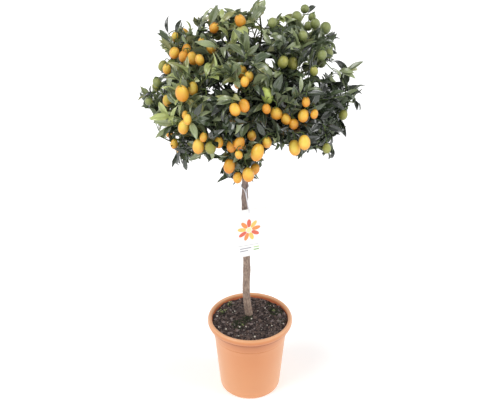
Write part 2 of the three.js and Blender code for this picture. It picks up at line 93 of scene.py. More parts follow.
def new_material(name, **sockets):
    """A material with a Principled BSDF whose sockets are set by name, with its node tree and the shader."""
    material = bpy.data.materials.new(name)
    material.use_nodes = True
    shader = material.node_tree.nodes["Principled BSDF"]
    for socket, value in sockets.items():
        shader.inputs[socket.replace("_", " ").title().replace("Ior", "IOR")].default_value = value
    return material, material.node_tree, shader


def mesh_piece(name, vertices, faces, materials, material_of_face=None, smooth=True):
    """A new object with a mesh of those vertices and faces, linked into the scene."""
    mesh = bpy.data.meshes.new(name)
    mesh.from_pydata(np.array(vertices, dtype=float).tolist(), [], [[int(i) for i in f] for f in faces])
    for material in materials:
        mesh.materials.append(material)
    if material_of_face is not None:
        mesh.polygons.foreach_set("material_index", np.asarray(material_of_face, dtype=np.int32))
    mesh.polygons.foreach_set("use_smooth", np.full(len(mesh.polygons), smooth))
    mesh.update()
    return placed(name, mesh)


TURN = 2 * math.pi


def ring_points(radius, z, sides):
    """Points of a level circle round the Z axis."""
    angles = [TURN * k / sides for k in range(sides)]
    return [(radius * math.cos(a), radius * math.sin(a), z) for a in angles]


def ring_faces(rings, sides, first=0, turned_over=False):
    """Faces between each ring of points and the next, from the point whose number is first."""
    faces = []
    for ring in range(rings):
        for k in range(sides):
            a, b = (first + ring * sides + j for j in (k, (k + 1) % sides))
            faces.append((a, a + sides, b + sides, b) if turned_over else (a, b, b + sides, a + sides))
    return faces


floor_radius, wall_height, floor_sides = 15.0, 5.5, 96
floor_material, _, _ = new_material(
    "studio_floor", base_color=(0.93, 0.93, 0.93, 1), roughness=0.9,
    emission_color=(1, 1, 1, 1), emission_strength=0.28,
)
wall_material, _, _ = new_material(
    "studio_wall", base_color=(0.5, 0.5, 0.5, 1), roughness=1.0,
    emission_color=(1, 1, 1, 1), emission_strength=0.90,
)
floor_rim = ring_points(floor_radius, 0, floor_sides)
floor = mesh_piece("floor", floor_rim, [range(floor_sides)], [floor_material], smooth=False)
wall_rims = floor_rim + ring_points(floor_radius, wall_height, floor_sides)
wall = mesh_piece("wall", wall_rims, ring_faces(1, floor_sides), [wall_material])

world = bpy.data.worlds.new("studio")
world.use_nodes = True
world.node_tree.nodes["Background"].inputs["Color"].default_value = (1, 1, 1, 1)
world.node_tree.nodes["Background"].inputs["Strength"].default_value = 0.42
bpy.context.scene.world = world
light_spread = math.radians(32)  # how wide each light lies on the sky, which makes its shadows soft


def soft_light(name, towards, strength):
    """A wide light from far off, that comes from the direction given."""
    light = bpy.data.lights.new(name, "SUN")
    light.angle, light.energy = light_spread, strength
    placed(name, light).rotation_euler = Vector(towards).to_track_quat("Z", "Y").to_euler()


soft_light("left_light", (-0.70, -0.45, 0.95), 1.18)
soft_light("right_light", (0.85, -0.20, 0.80), 0.97)


# ------------------------------------------------------------------------------ effects that finishes share
# Two effects: a mottle that mixes two colours in soft patches, and a fine relief that roughens a surface.
# Each is a node group with its own inputs, placed in every material that needs it.
def group_with(name, inputs, outputs):
    """A new shader node group, with its input and output nodes. An input that is None is a colour."""
    group = bpy.data.node_groups.new(name, "ShaderNodeTree")
    for label, value in inputs.items():
        kind = "NodeSocketColor" if value is None else "NodeSocketFloat"
        socket = group.interface.new_socket(label, in_out="INPUT", socket_type=kind)
        if value is not None:
            socket.default_value = value
    for label, kind in outputs.items():
        group.interface.new_socket(label, in_out="OUTPUT", socket_type=kind)
    return group, group.nodes.new("NodeGroupInput"), group.nodes.new("NodeGroupOutput")


def new_nodes(tree, *kinds):
    return [tree.nodes.new(kind) for kind in kinds]


def wire(tree, *links):
    """Links nodes of a tree. Each link is a node, its output, the next node and its input."""
    for source, output, target, entry in links:
        tree.links.new(source.outputs[output], target.inputs[entry])


def object_noise(group, entry):
    """A noise texture in a group, at the piece's own place, squeezed along Z by the Stretch input."""
    place, squeeze, stretch, texture = new_nodes(
        group, "ShaderNodeTexCoord", "ShaderNodeVectorMath", "ShaderNodeCombineXYZ", "ShaderNodeTexNoise"
    )
    squeeze.operation = "MULTIPLY"
    stretch.inputs[0].default_value = stretch.inputs[1].default_value = 1
    wire(
        group,
        (place, "Object", squeeze, 0), (entry, "Stretch", stretch, 2), (stretch, 0, squeeze, 1),
        (squeeze, 0, texture, "Vector"), (entry, "Scale", texture, "Scale"),
        (entry, "Detail", texture, "Detail"),
    )
    return texture


mottle, mottle_in, mottle_out = group_with(
    "mottle",
    {
        "Ground": None, "Patches": None, "Scale": 40, "Detail": 4, "Stretch": 1,
        "Low": 0.4, "High": 0.6, "Smoothest": 0.4, "Roughest": 0.6,
    },
    {"Color": "NodeSocketColor", "Roughness": "NodeSocketFloat"},
)
mottle_noise = object_noise(mottle, mottle_in)
mottle_mask, mottle_mix, mottle_rough = new_nodes(
    mottle, "ShaderNodeMapRange", "ShaderNodeMix", "ShaderNodeMapRange"
)
mottle_mix.data_type = "RGBA"
wire(
    mottle,
    (mottle_noise, "Fac", mottle_mask, "Value"),
    (mottle_in, "Low", mottle_mask, "From Min"),
    (mottle_in, "High", mottle_mask, "From Max"),
    (mottle_mask, 0, mottle_mix, "Factor"),
    (mottle_in, "Ground", mottle_mix, "A"),
    (mottle_in, "Patches", mottle_mix, "B"),
    (mottle_mask, 0, mottle_rough, "Value"),
    (mottle_in, "Smoothest", mottle_rough, "To Min"),
    (mottle_in, "Roughest", mottle_rough, "To Max"),
    (mottle_mix, "Result", mottle_out, "Color"),
    (mottle_rough, 0, mottle_out, "Roughness"),
)

relief, relief_in, relief_out = group_with(
    "fine_relief",
    {"Scale": 400, "Detail": 3, "Stretch": 1, "Strength": 0.2, "Depth": 0.0005},
    {"Normal": "NodeSocketVector"},
)
relief_noise = object_noise(relief, relief_in)
relief_bump = relief.nodes.new("ShaderNodeBump")
wire(
    relief,
    (relief_noise, "Fac", relief_bump, "Height"),
    (relief_in, "Strength", relief_bump, "Strength"),
    (relief_in, "Depth", relief_bump, "Distance"),
    (relief_bump, "Normal", relief_out, "Normal"),
)


def placed_group(tree, group, *values):
    """A group placed in a material, with values for its first inputs in their order."""
    node = tree.nodes.new("ShaderNodeGroup")
    node.node_tree = group
    for socket, value in zip(node.inputs, values):
        socket.default_value = value
    return node


def finish_of(name, ground, patches, mottling, roughness, graining, **sockets):
    """A material whose colour and roughness vary in soft patches and whose surface has a fine relief.
    mottling is (scale, detail, stretch, low, high) and graining (scale, detail, stretch, strength, depth)."""
    material, tree, shader = new_material(name, **sockets)
    patchy = placed_group(tree, mottle, linear(*ground), linear(*patches), *mottling, *roughness)
    grained = placed_group(tree, relief, *graining)
    wire(
        tree,
        (patchy, "Color", shader, "Base Color"), (patchy, "Roughness", shader, "Roughness"),
        (grained, "Normal", shader, "Normal"),
    )
    return material


def lead_colour_through(material, node, entry, result):
    """Leads a material's colour through one more node on its way to the shader."""
    tree = material.node_tree
    shader = next(n for n in tree.nodes if n.type == "BSDF_PRINCIPLED")
    tree.links.new(shader.inputs["Base Color"].links[0].from_socket, node.inputs[entry])
    wire(tree, (node, result, shader, "Base Color"))


# ------------------------------------------------------------------------------ pot
# An injection-moulded tub in terracotta-coloured plastic: a foot ring, a tapering wall, a stepped collar
# and a deep rolled rim. The underside is recessed and has four drain holes.
_, pot_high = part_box("pot")
pot_height, rim_radius = pot_high.z, pot_high.x
rim_depth, rim_roll = 0.019, 0.0062
rim_inner_radius = 0.1002
lip_end = (rim_inner_radius - 0.0012, 0.2055)  # where the rim ends and the inside begins
neck_radius, neck_height = 0.0965, pot_height - 0.013
foot_radius, foot_round = 0.0795, 0.005
foot_ring, foot_recess = 0.012, 0.0022  # the width of the ring it stands on, and the hollow within
collar_bottom, collar_step = 0.1643, 0.0016
groove_depth, groove_height = 0.0008, 0.0026  # a fine moulded groove under the collar
wall_thickness, floor_thickness = 0.003, 0.004
soil_radius, soil_edge_height = 0.0986, 0.2015  # where the soil meets the inside of the rim
drain_count, drain_radius, drain_circle = 4, 0.006, 0.052


def wall_radius(z):
    """The radius of the wall's outside at a height."""
    return foot_radius + (neck_radius - foot_radius) * z / neck_height


def arc(centre, radii, start, end, steps):
    """Points of an arc in the profile's plane, with angles in degrees from the outward direction."""
    angles = [math.radians(start + (end - start) * i / steps) for i in range(steps + 1)]
    return [(centre[0] + radii[0] * math.cos(a), centre[1] + radii[1] * math.sin(a)) for a in angles]


def turned(name, profile, sides, materials, material_of_ring=lambda ring: 0):
    """A closed body turned round the Z axis: the profile starts and ends on the axis and has no repeats."""
    inner = profile[1:-1]
    vertices = [(0, 0, profile[0][1]), (0, 0, profile[-1][1])]
    for radius, z in inner:
        vertices += ring_points(radius, z, sides)
    faces = ring_faces(len(inner) - 1, sides, 2)
    slots = [material_of_ring(number // sides) for number in range(len(faces))]
    last = 2 + (len(inner) - 1) * sides
    for k in range(sides):
        faces.append((0, 2 + (k + 1) % sides, 2 + k))
        faces.append((1, last + k, last + (k + 1) % sides))
        slots += [material_of_ring(0), material_of_ring(len(inner) - 1)]
    return mesh_piece(name, vertices, faces, materials, slots)


def pot_profile():
    """The pot's outline from its underside's middle, up the outside, over the rim and down the inside."""
    ring_inner, rim_bottom, half = foot_radius - foot_ring, pot_height - rim_depth, rim_depth / 2
    points = [(0, foot_recess), (ring_inner - 0.002, foot_recess), (ring_inner, 0)]
    points += arc((foot_radius - foot_round, foot_round), (foot_round, foot_round), -90, 0, 6)
    points += [(wall_radius(z), z) for z in np.linspace(0.02, collar_bottom - 2 * groove_height, 12)]
    for share in (0, 0.4, 0.7, 1):
        dent = groove_depth * math.sin(math.pi * share / 2)
        points.append((wall_radius(collar_bottom) - dent, collar_bottom - groove_height * (1 - share)))
    collar = wall_radius(collar_bottom) + collar_step
    points += arc((collar - 0.0006, collar_bottom + 0.0006), (0.0006, 0.0006), -80, 0, 3)
    points += [(wall_radius(z) + collar_step, z) for z in np.linspace(0.169, rim_bottom - 0.0012, 8)]
    points += [(wall_radius(rim_bottom) + collar_step + 0.0016, rim_bottom + 0.0003)]
    points += [(rim_radius - rim_roll - 0.0006, rim_bottom + 0.0002)]
    points += arc((rim_radius - rim_roll, pot_height - half), (rim_roll, half), -78, 100, 16)
    points += arc((rim_inner_radius + 0.0022, pot_height - 0.0032), (0.0022, 0.0022), 130, 180, 3)
    points += [lip_end, (soil_radius + 0.0004, soil_edge_height)]
    points += [(wall_radius(z) - wall_thickness, z) for z in np.linspace(0.190, 0.012, 6)]
    points += [(wall_radius(0.004) - wall_thickness - 0.003, floor_thickness), (0, floor_thickness)]
    return points


def paint_light_at_edges(material, painted_edge_colour, blend, most):
    """Paints light or shade that goes with the view: it turns a material's colour towards another where its
    surface is seen aslant.
    """
    tree = material.node_tree
    aslant, share, edge_paint = new_nodes(tree, "ShaderNodeLayerWeight", "ShaderNodeMapRange", "ShaderNodeMix")
    aslant.inputs["Blend"].default_value = blend
    share.inputs["To Max"].default_value = most
    edge_paint.data_type = "RGBA"
    edge_paint.inputs["B"].default_value = linear(*painted_edge_colour)
    wire(tree, (aslant, "Facing", share, "Value"), (share, 0, edge_paint, "Factor"))
    lead_colour_through(material, edge_paint, "A", "Result")


def shaded_by_height(material, stops):
    """Multiplies a material's colour by one that changes with height. Each stop is a height and a colour."""
    tree, top = material.node_tree, stops[-1][0]
    place, height = new_nodes(tree, "ShaderNodeTexCoord", "ShaderNodeSeparateXYZ")
    share, ramp, tinted = new_nodes(tree, "ShaderNodeMapRange", "ShaderNodeValToRGB", "ShaderNodeMix")
    share.inputs["From Max"].default_value = top
    for at, colour in stops[1:-1]:
        ramp.color_ramp.elements.new(at / top).color = linear(*colour)
    ramp.color_ramp.elements[0].color = linear(*stops[0][1])
    ramp.color_ramp.elements[-1].color = linear(*stops[-1][1])
    tinted.data_type, tinted.blend_type = "RGBA", "MULTIPLY"
    tinted.inputs["Factor"].default_value = 1
    wire(
        tree,
        (place, "Object", height, 0), (height, "Z", share, "Value"),
        (share, 0, ramp, "Fac"), (ramp, "Color", tinted, "B"),
    )
    lead_colour_through(material, tinted, "A", "Result")


pot_plastic = finish_of(
    "terracotta_plastic",
    (255, 255, 255), (248, 242, 238), (9, 3, 0.6, 0.3, 0.75), (0.32, 0.44), (900, 2, 1, 0.10, 0.0003),
    specular_ior_level=0.5,
)
# its colour by height: painted shade under the rim and on its underside, a painted highlight along the rim's
# top, and a little lighter towards the foot
shaded_by_height(pot_plastic, [
    (0.000, (213, 145, 96)), (0.060, (211, 140, 88)), (0.120, (208, 132, 79)), (0.165, (207, 131, 78)),
    (0.168, (203, 126, 75)), (0.180, (194, 118, 71)), (0.188, (168, 94, 58)), (0.1955, (178, 100, 62)),
    (0.200, (196, 118, 70)), (0.206, (210, 135, 80)), (0.2100, (227, 170, 126)),
    (pot_height, (226, 166, 120)),
])
# a painted sheen: paler where the wall is seen aslant, standing for the bright surroundings reflected there
paint_light_at_edges(pot_plastic, (228, 183, 147), 0.35, 0.80)
# painted shade: a darker, duller finish in the groove under the collar and along the rim's lower edge, where
# shade falls
pot_painted_shade = finish_of(
    "terracotta_plastic_painted_shade",
    (172, 104, 70), (160, 92, 60), (30, 3, 0.6, 0.3, 0.75), (0.85, 0.95), (900, 2, 1, 0.10, 0.0003),
    specular_ior_level=0.1,
)
# darker inside the pot: partly painted shade, partly plastic less faded by the sun
pot_inner = finish_of(
    "terracotta_plastic_inside",
    (206, 116, 74), (188, 98, 60), (30, 4, 1, 0.3, 0.7), (0.5, 0.7), (900, 2, 1, 0.15, 0.0003),
)
pot_points = pot_profile()
inside_from = pot_points.index(lip_end)
painted_shade_heights = [
    (collar_bottom - groove_height * 0.8, collar_bottom + 0.0003),
    (pot_height - rim_depth - 0.0001, pot_height - rim_depth + 0.0042),
]


def pot_slot(ring):
    """The wall's finish, the painted-shade finish in the groove and under the rim, or the inside's from the
    soil down.
    """
    if ring + 1 >= inside_from:
        return 1
    middle = (pot_points[ring + 1][1] + pot_points[ring + 2][1]) / 2
    return 2 if any(low < middle < high for low, high in painted_shade_heights) else 0


pot_piece = turned("pot_body", pot_points, 128, [pot_plastic, pot_inner, pot_painted_shade], pot_slot)
drain_cutters = []
for hole in range(drain_count):
    turn = TURN * hole / drain_count
    bore = [(0, -0.01), (drain_radius, -0.01), (drain_radius, 0.01), (0, 0.01)]
    cutter = turned("drain_cutter", bore, 24, [pot_plastic])
    cutter.location = (drain_circle * math.cos(turn), drain_circle * math.sin(turn), 0)
    cut = pot_piece.modifiers.new("drain", "BOOLEAN")
    cut.operation, cut.object, cut.solver = "DIFFERENCE", cutter, "EXACT"
    drain_cutters.append(cutter)


def shaped_mesh(thing):
    """The mesh of an object as its modifiers or its curve shape it."""
    return bpy.data.meshes.new_from_object(thing.evaluated_get(bpy.context.evaluated_depsgraph_get()))


pot_piece.data = shaped_mesh(pot_piece)
pot_piece.modifiers.clear()
for cutter in drain_cutters:
    bpy.data.objects.remove(cutter)
pot_piece.data.shade_smooth()
pot_piece.data.set_sharp_from_angle(angle=math.radians(50))
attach(pot_piece, "root")
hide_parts("pot")


# ------------------------------------------------------------------------------ potting soil
# Dark peat that has settled a finger's width under the rim, lumpy and a little heaped round the stem. On it
# lie crumbs of peat, grains of perlite, shreds of bark, cushions of moss and a few seedlings.
_, soil_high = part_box("soil")
soil_sink, soil_edge_drop = 0.0015, 0.0035
trunk_foot = Vector((-0.002, 0.015, 0))
mound_height, mound_width = 0.0050, 0.018  # the soil heaped round the stem
# the top's unevenness: height in metres, waves in a metre, and which layer of the noise
soil_waves = [(0.0030, 38, 1.5), (0.0022, 95, 4.5), (0.0012, 260, 7.5), (0.0007, 600, 9.5)]


def soil_height(x, y):
    """The height of the soil's rough top at a place."""
    share = min(1.0, math.hypot(x, y) / soil_radius)
    mound = mound_height * math.exp(-((x - trunk_foot.x) ** 2 + (y - trunk_foot.y) ** 2) / mound_width ** 2)
    lumps = sum(size * noise.noise((x * waves, y * waves, layer)) for size, waves, layer in soil_waves)
    return soil_high.z - soil_sink - soil_edge_drop * share ** 2 + mound + lumps


def soil_mesh():
    """The soil's top, with its side and its underside a hair inside the pot."""
    rings, sides, gap = 84, 216, 0.0004
    vertices = [(0, 0, soil_height(0, 0))]
    for ring in range(1, rings + 1):
        circle = ring_points(soil_radius * ring / rings, 0, sides)
        vertices += [(x, y, soil_height(x, y)) for x, y, _ in circle]
    for z in (0.188, 0.1, floor_thickness + gap):
        vertices += ring_points(wall_radius(z) - wall_thickness - gap, z, sides)
    faces = ring_faces(rings + 2, sides, 1, turned_over=True)
    faces += [(0, 1 + k, 1 + (k + 1) % sides) for k in range(sides)]
    last = 1 + (rings + 2) * sides
    faces.append([last + k for k in reversed(range(sides))])
    return vertices, faces


soil_finish = finish_of(
    "potting_soil",
    (48, 40, 40), (106, 92, 88), (120, 7, 1, 0.42, 0.70), (0.85, 0.98), (1500, 6, 1, 0.9, 0.0012),
    specular_ior_level=0.25,
)
soil_piece = mesh_piece("soil_surface", *soil_mesh(), [soil_finish])
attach(soil_piece, "root")
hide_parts("soil")

SEED = 1701
rng = np.random.default_rng(SEED)


def soil_places(count, inner=0.016):
    """Random places on the soil, clear of the stem and of the pot's wall."""
    found = []
    while len(found) < count:
        radius = (soil_radius - 0.002) * math.sqrt(rng.random())
        turn = TURN * rng.random()
        x, y = radius * math.cos(turn), radius * math.sin(turn)
        if math.hypot(x - trunk_foot.x, y - trunk_foot.y) > inner:
            found.append((x, y))
    return found


GOLDEN_RATIO = (1 + math.sqrt(5)) / 2
LUMP_POINTS = [
    Vector(p).normalized()
    for a in (-1, 1)
    for b in (-GOLDEN_RATIO, GOLDEN_RATIO)
    for p in ((0, a, b), (a, b, 0), (b, 0, a))
]


def lump_faces():
    """The twenty faces of a lump: each three points that lie side by side, turned outward."""
    faces = []
    for i, j, k in combinations(range(12), 3):
        a, b, c = (LUMP_POINTS[n] for n in (i, j, k))
        if max((a - b).length, (b - c).length, (a - c).length) < 1.1:
            faces.append((i, j, k) if (b - a).cross(c - a).dot(a) > 0 else (k, j, i))
    return faces


LUMP_FACES = lump_faces()


def lay_on_soil(name, vertices, faces, finishes, slots=None, smooth=False):
    """A piece that lies on the soil and goes with it."""
    piece = mesh_piece(name, vertices, faces, finishes, slots, smooth)
    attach(piece, "root")


def scatter_lumps(name, places, sizes, squash, sink, finishes):
    """Irregular grains of twenty faces, joined into one piece and lying in the soil."""
    vertices, faces, slots = [], [], []
    for (x, y), size in zip(places, sizes):
        base, slot = len(vertices), int(rng.integers(len(finishes)))
        centre = Vector((x, y, soil_height(x, y) + size * (0.5 - sink) * squash))
        stretch = [size / 2 * (0.75 + 0.5 * rng.random()) for _ in range(2)] + [size / 2 * squash]
        spin = Quaternion(UP, TURN * rng.random()) @ Quaternion((1, 0, 0), 0.6 * (rng.random() - 0.5))
        for p in LUMP_POINTS:
            rough = 1 + 0.35 * (rng.random() - 0.5)
            vertices.append(centre + spin @ Vector([rough * c * s for c, s in zip(p, stretch)]))
        faces += [[base + i for i in f] for f in LUMP_FACES]
        slots += [slot] * len(LUMP_FACES)
    lay_on_soil(name, vertices, faces, finishes, slots)


crumb_finishes = [
    finish_of(
        "peat_crumb_" + tone, ground, patches, (500, 3, 1, 0.4, 0.7), (0.9, 1.0), (2500, 3, 1, 0.6, 0.0006),
        specular_ior_level=0.2,
    )
    for tone, ground, patches in [
        ("dark", (44, 38, 38), (66, 57, 56)),
        ("brown", (94, 79, 73), (122, 104, 97)),
        ("grey", (116, 105, 104), (150, 136, 131)),
    ]
]
crumb_count, clod_count, fine_perlite_count = 1300, 90, 70
crumb_sizes = 0.0014 + 0.0042 * rng.random(crumb_count) ** 2.2
scatter_lumps("soil_crumbs", soil_places(crumb_count), crumb_sizes, 0.8, 0.25, crumb_finishes)
clod_sizes = 0.0055 + 0.0050 * rng.random(clod_count)
scatter_lumps("soil_clods", soil_places(clod_count, 0.022), clod_sizes, 0.6, 0.35, crumb_finishes)

perlite_finish = finish_of(
    "perlite",
    (238, 234, 222), (214, 206, 190), (700, 3, 1, 0.35, 0.7), (0.8, 0.95), (3000, 2, 1, 0.4, 0.0004),
)
# the grains that catch the eye, by place on the soil in metres, then the fine ones strewn among them
large_perlite = [
    (-0.026, -0.038), (-0.010, -0.036), (-0.028, -0.071), (0.004, -0.006), (0.030, -0.014), (0.056, -0.034),
    (0.086, -0.022), (0.055, 0.061), (-0.086, 0.012), (-0.084, 0.034), (-0.080, -0.040), (-0.040, 0.030),
    (0.021, 0.030), (-0.062, -0.046), (0.012, -0.078), (0.040, 0.044),
]
perlite_places = large_perlite + soil_places(fine_perlite_count)
perlite_sizes = [0.0036 + 0.0022 * rng.random() for _ in large_perlite]
perlite_sizes += [0.0009 + 0.0019 * rng.random() ** 2 for _ in range(fine_perlite_count)]
scatter_lumps("soil_perlite", perlite_places, perlite_sizes, 0.8, 0.15, [perlite_finish])


def scatter_shreds(name, count, finishes, lengths, widths, curl):
    """Thin four-sided shreds of bark and root, flat on the soil and bowed by up to curl of their length."""
    vertices, faces, slots, steps = [], [], [], 6
    for x, y in soil_places(count):
        base, slot = len(vertices), int(rng.integers(len(finishes)))
        length, width = (low + (high - low) * rng.random() ** 2 for low, high in (lengths, widths))
        turn, tip_lift = TURN * rng.random(), 0.002 * rng.random()
        run = Vector((math.cos(turn), math.sin(turn), 0))
        across = Vector((-math.sin(turn), math.cos(turn), 0))
        bow = curl * length * (rng.random() - 0.5)
        for step in range(steps + 1):
            share = step / steps
            at = Vector((x, y, 0)) + run * length * (share - 0.5) * (1 - abs(curl) * 0.25)
            at += across * bow * math.sin(math.pi * share * (1 + curl / 2))
            if math.hypot(at.x, at.y) > soil_radius - 0.001:
                at *= (soil_radius - 0.001) / math.hypot(at.x, at.y)
            at.z = soil_height(at.x, at.y) + 0.0005 + tip_lift * share
            thick = width * (1 - 0.7 * abs(2 * share - 1))
            vertices += [at + across * thick, at + UP * thick * 0.6]
            vertices += [at - across * thick, at - UP * thick * 0.6]
        faces += ring_faces(steps, 4, base)
        faces += [(base + 3, base + 2, base + 1, base), tuple(base + 4 * steps + k for k in range(4))]
        slots += [slot] * (4 * steps + 2)
    lay_on_soil(name, vertices, faces, finishes, slots)


shred_finishes = [
    finish_of(
        "bark_shred_" + tone, ground, patches, (300, 3, 1, 0.4, 0.7), (0.8, 0.95), (2500, 3, 1, 0.4, 0.0004),
    )
    for tone, ground, patches in [
        ("pale", (140, 122, 110), (112, 96, 88)),
        ("brown", (96, 78, 68), (70, 56, 50)),
        ("dark", (62, 50, 46), (48, 40, 38)),
    ]
]
scatter_shreds("soil_shreds", 330, shred_finishes, (0.003, 0.013), (0.0004, 0.0013), 0.25)
scatter_shreds("soil_threads", 46, shred_finishes[:1], (0.012, 0.028), (0.0003, 0.0005), 0.9)

# Cushions of moss: tufts of small pointed blades, thick in the middle of each patch.
# Each patch is a place on the soil and a radius, in metres.
moss_patches = [
    (-0.028, -0.026, 0.021), (-0.008, -0.004, 0.015), (0.070, 0.026, 0.017), (0.080, -0.012, 0.013),
    (0.058, 0.040, 0.012), (-0.052, 0.056, 0.011), (0.050, 0.066, 0.010), (-0.070, 0.024, 0.009),
]
MOSS_BLADES, MOSS_DENSITY = 4, 2.6e6  # blades in a tuft, and for each square metre in the middle


def moss_mesh():
    """Tufts of four blades, each blade a thin three-sided spike that leans outward."""
    vertices, faces, slots = [], [], []
    for cx, cy, spread in moss_patches:
        for _ in range(int(MOSS_DENSITY * spread ** 2) // MOSS_BLADES):
            reach, turn = spread * math.sqrt(rng.random()) ** 1.3, TURN * rng.random()
            x, y = cx + reach * math.cos(turn), cy + reach * math.sin(turn)
            foot = Vector((x, y, soil_height(x, y)))
            slot = int(rng.integers(2))
            for blade in range(MOSS_BLADES):
                a = TURN * (blade + rng.random()) / MOSS_BLADES
                lean = Vector((math.cos(a), math.sin(a), 0))
                tip = foot + lean * 0.0016 * rng.random() + UP * (0.0014 + 0.0022 * rng.random())
                side = Vector((-lean.y, lean.x, 0)) * 0.0005
                base = len(vertices)
                vertices += [foot + side, foot - side, tip + lean * 0.0004, foot + lean * 0.0007]
                faces += [(base + i, base + j, base + 2) for i, j in ((0, 3), (3, 1), (1, 0))]
                slots += [slot] * 3
    return vertices, faces, slots


moss_finishes = [
    finish_of(
        "moss_" + tone, ground, patches, (300, 3, 1, 0.4, 0.7), (0.7, 0.9), (2500, 2, 1, 0.3, 0.0003),
    )
    for tone, ground, patches in [
        ("deep", (40, 50, 32), (52, 64, 38)),
        ("fresh", (60, 76, 42), (84, 100, 56)),
    ]
]
moss_vertices, moss_faces, moss_slots = moss_mesh()
lay_on_soil("soil_moss", moss_vertices, moss_faces, moss_finishes, moss_slots)

# Weed seedlings: a thread of a stem with two or three pale green seed leaves.
# Each is a place on the soil and a height, in metres.
seedlings = [
    (-0.054, 0.059, 0.009), (-0.057, 0.055, 0.006), (-0.074, 0.023, 0.007), (-0.066, 0.027, 0.008),
    (-0.080, 0.034, 0.005), (-0.018, -0.034, 0.006), (0.062, 0.030, 0.006),
]


def seedling_mesh():
    """A three-sided stem each, and its seed leaves: thin blades that spread from the stem's top."""
    vertices, faces = [], []
    for x, y, height in seedlings:
        foot = Vector((x, y, soil_height(x, y)))
        top = foot + Vector((0.1, -0.2, 1)) * height
        first = TURN * rng.random()
        base = len(vertices)
        for end in (foot, top):
            vertices += [end + Quaternion(UP, TURN * k / 3) @ Vector((0.0003, 0, 0)) for k in range(3)]
        faces += ring_faces(1, 3, base)
        for leaf in range(2 + int(2 * rng.random())):
            out = Quaternion(UP, first + 2.3 * leaf) @ Vector((1, 0, 0))
            side, base = UP.cross(out), len(vertices)
            for share, half, rise in ((0, 0.1, 0), (0.35, 0.9, 0.25), (0.7, 0.8, 0.35), (1, 0.15, 0.3)):
                middle = top + out * 0.0052 * share + UP * 0.0052 * rise
                vertices += [middle + side * 0.0015 * half * k for k in (1, -1)] + [middle - UP * 0.0003]
            for step in range(3):
                a = base + 3 * step
                faces += [(a + 1, a, a + 3, a + 4), (a, a + 2, a + 5, a + 3), (a + 2, a + 1, a + 4, a + 5)]
            faces += [(base, base + 1, base + 2), (base + 10, base + 9, base + 11)]
    return vertices, faces


seedling_finish = finish_of(
    "seedling",
    (150, 166, 100), (178, 190, 124), (400, 2, 1, 0.4, 0.6), (0.5, 0.6), (2000, 2, 1, 0.1, 0.0002),
)
lay_on_soil("soil_seedlings", *seedling_mesh(), [seedling_finish], smooth=True)


# ------------------------------------------------------------------------------ trunk and boughs
# One bare stem of living wood with thin grey-brown bark: finely speckled, streaked lengthwise, with swollen
# rings where side shoots were cut away. Inside the crown it forks into six boughs, from which seventeen
# more branch off.
SOIL_TOP = 0.206
trunk_bottom, trunk_top = 0.200, 0.668
trunk_wander = [(-2, 15), (-9.5, 8), (-8.2, 4), (-9.8, 1), (-12.6, -1), (-12, 0), (-10.5, 1)]  # millimetres
trunk_radii = (0.0100, 0.0066)
trunk_flare, flare_height = 0.0002, 0.014
trunk_knots = [(0.350, 0.0009), (0.558, 0.0011)]  # height and swell
knot_length = 0.009
bough_radii = {"primary": (0.0048, 0.0028), "secondary": (0.0032, 0.0023)}
crown_heart = Vector((0, 0, 0.818))
crown_half_width, crown_half_height, crown_reach = 0.250, 0.198, 1.03
crown_size = Vector((crown_half_width, crown_half_width, crown_half_height))
bough_entry = 0.6
wood_gap = 0.0003

# name: (heading, lift, distance out, spread in mm, the limb that carries it, and where along that limb)
MASSES = {
    "top": (55, 75, 0.79, 84, "trunk", 0.98),
    "left": (176, 1, 0.79, 84, "trunk", 0.95),
    "right": (-2, -4, 0.79, 82, "trunk", 0.968),
    "front": (-92, 26, 0.77, 82, "trunk", 0.985),
    "back": (90, -3, 0.79, 92, "trunk", 0.96),
    "bottom": (-96, -66, 0.69, 82, "trunk", 0.93),
    "top_left": (152, 64, 0.79, 82, "top", 0.5),
    "top_right": (-10, 54, 0.79, 88, "top", 0.4),
    "top_back": (87, 40, 0.74, 88, "top", 0.3),
    "upper_left": (-167, 41, 0.79, 92, "left", 0.5),
    "lower_left": (-153, -25, 0.77, 86, "left", 0.4),
    "low_side_left": (163, -39, 0.79, 84, "left", 0.62),
    "upper_right": (16, 27, 0.79, 80, "right", 0.5),
    "lower_right": (-28, -31, 0.79, 88, "right", 0.4),
    "low_side_right": (16, -43, 0.79, 88, "right", 0.6),
    "front_left": (-130, 21, 0.79, 86, "front", 0.5),
    "front_right": (-52, 33, 0.79, 88, "front", 0.66),
    "low_front_right": (-66, -11, 0.71, 90, "front", 0.3),
    "low_front_left": (-110, -19, 0.70, 88, "front", 0.22),
    "back_left": (140, 22, 0.75, 92, "back", 0.45),
    "back_right": (50, 13, 0.78, 88, "back", 0.58),
    "low_back_left": (124, -24, 0.76, 88, "back", 0.25),
    "low_back_right": (59, -31, 0.79, 90, "back", 0.34),
}
limbs = {}


def lerp(a, b, share):
    return a + (b - a) * share


def through_knots(before, start, end, after, w):
    """The point at share w of the way from start to end on a Catmull-Rom curve through four knots."""
    leave, arrive = (end - before) / 2, (after - start) / 2
    return (
        start + leave * w + (3 * (end - start) - 2 * leave - arrive) * w ** 2
        + (2 * (start - end) + leave + arrive) * w ** 3
    )


def bowed(start, a, b, end, share):
    """The point at a share of the curve that leaves start towards a and comes to end from b."""
    rest = 1 - share
    return start * rest ** 3 + a * 3 * rest ** 2 * share + b * 3 * rest * share ** 2 + end * share ** 3


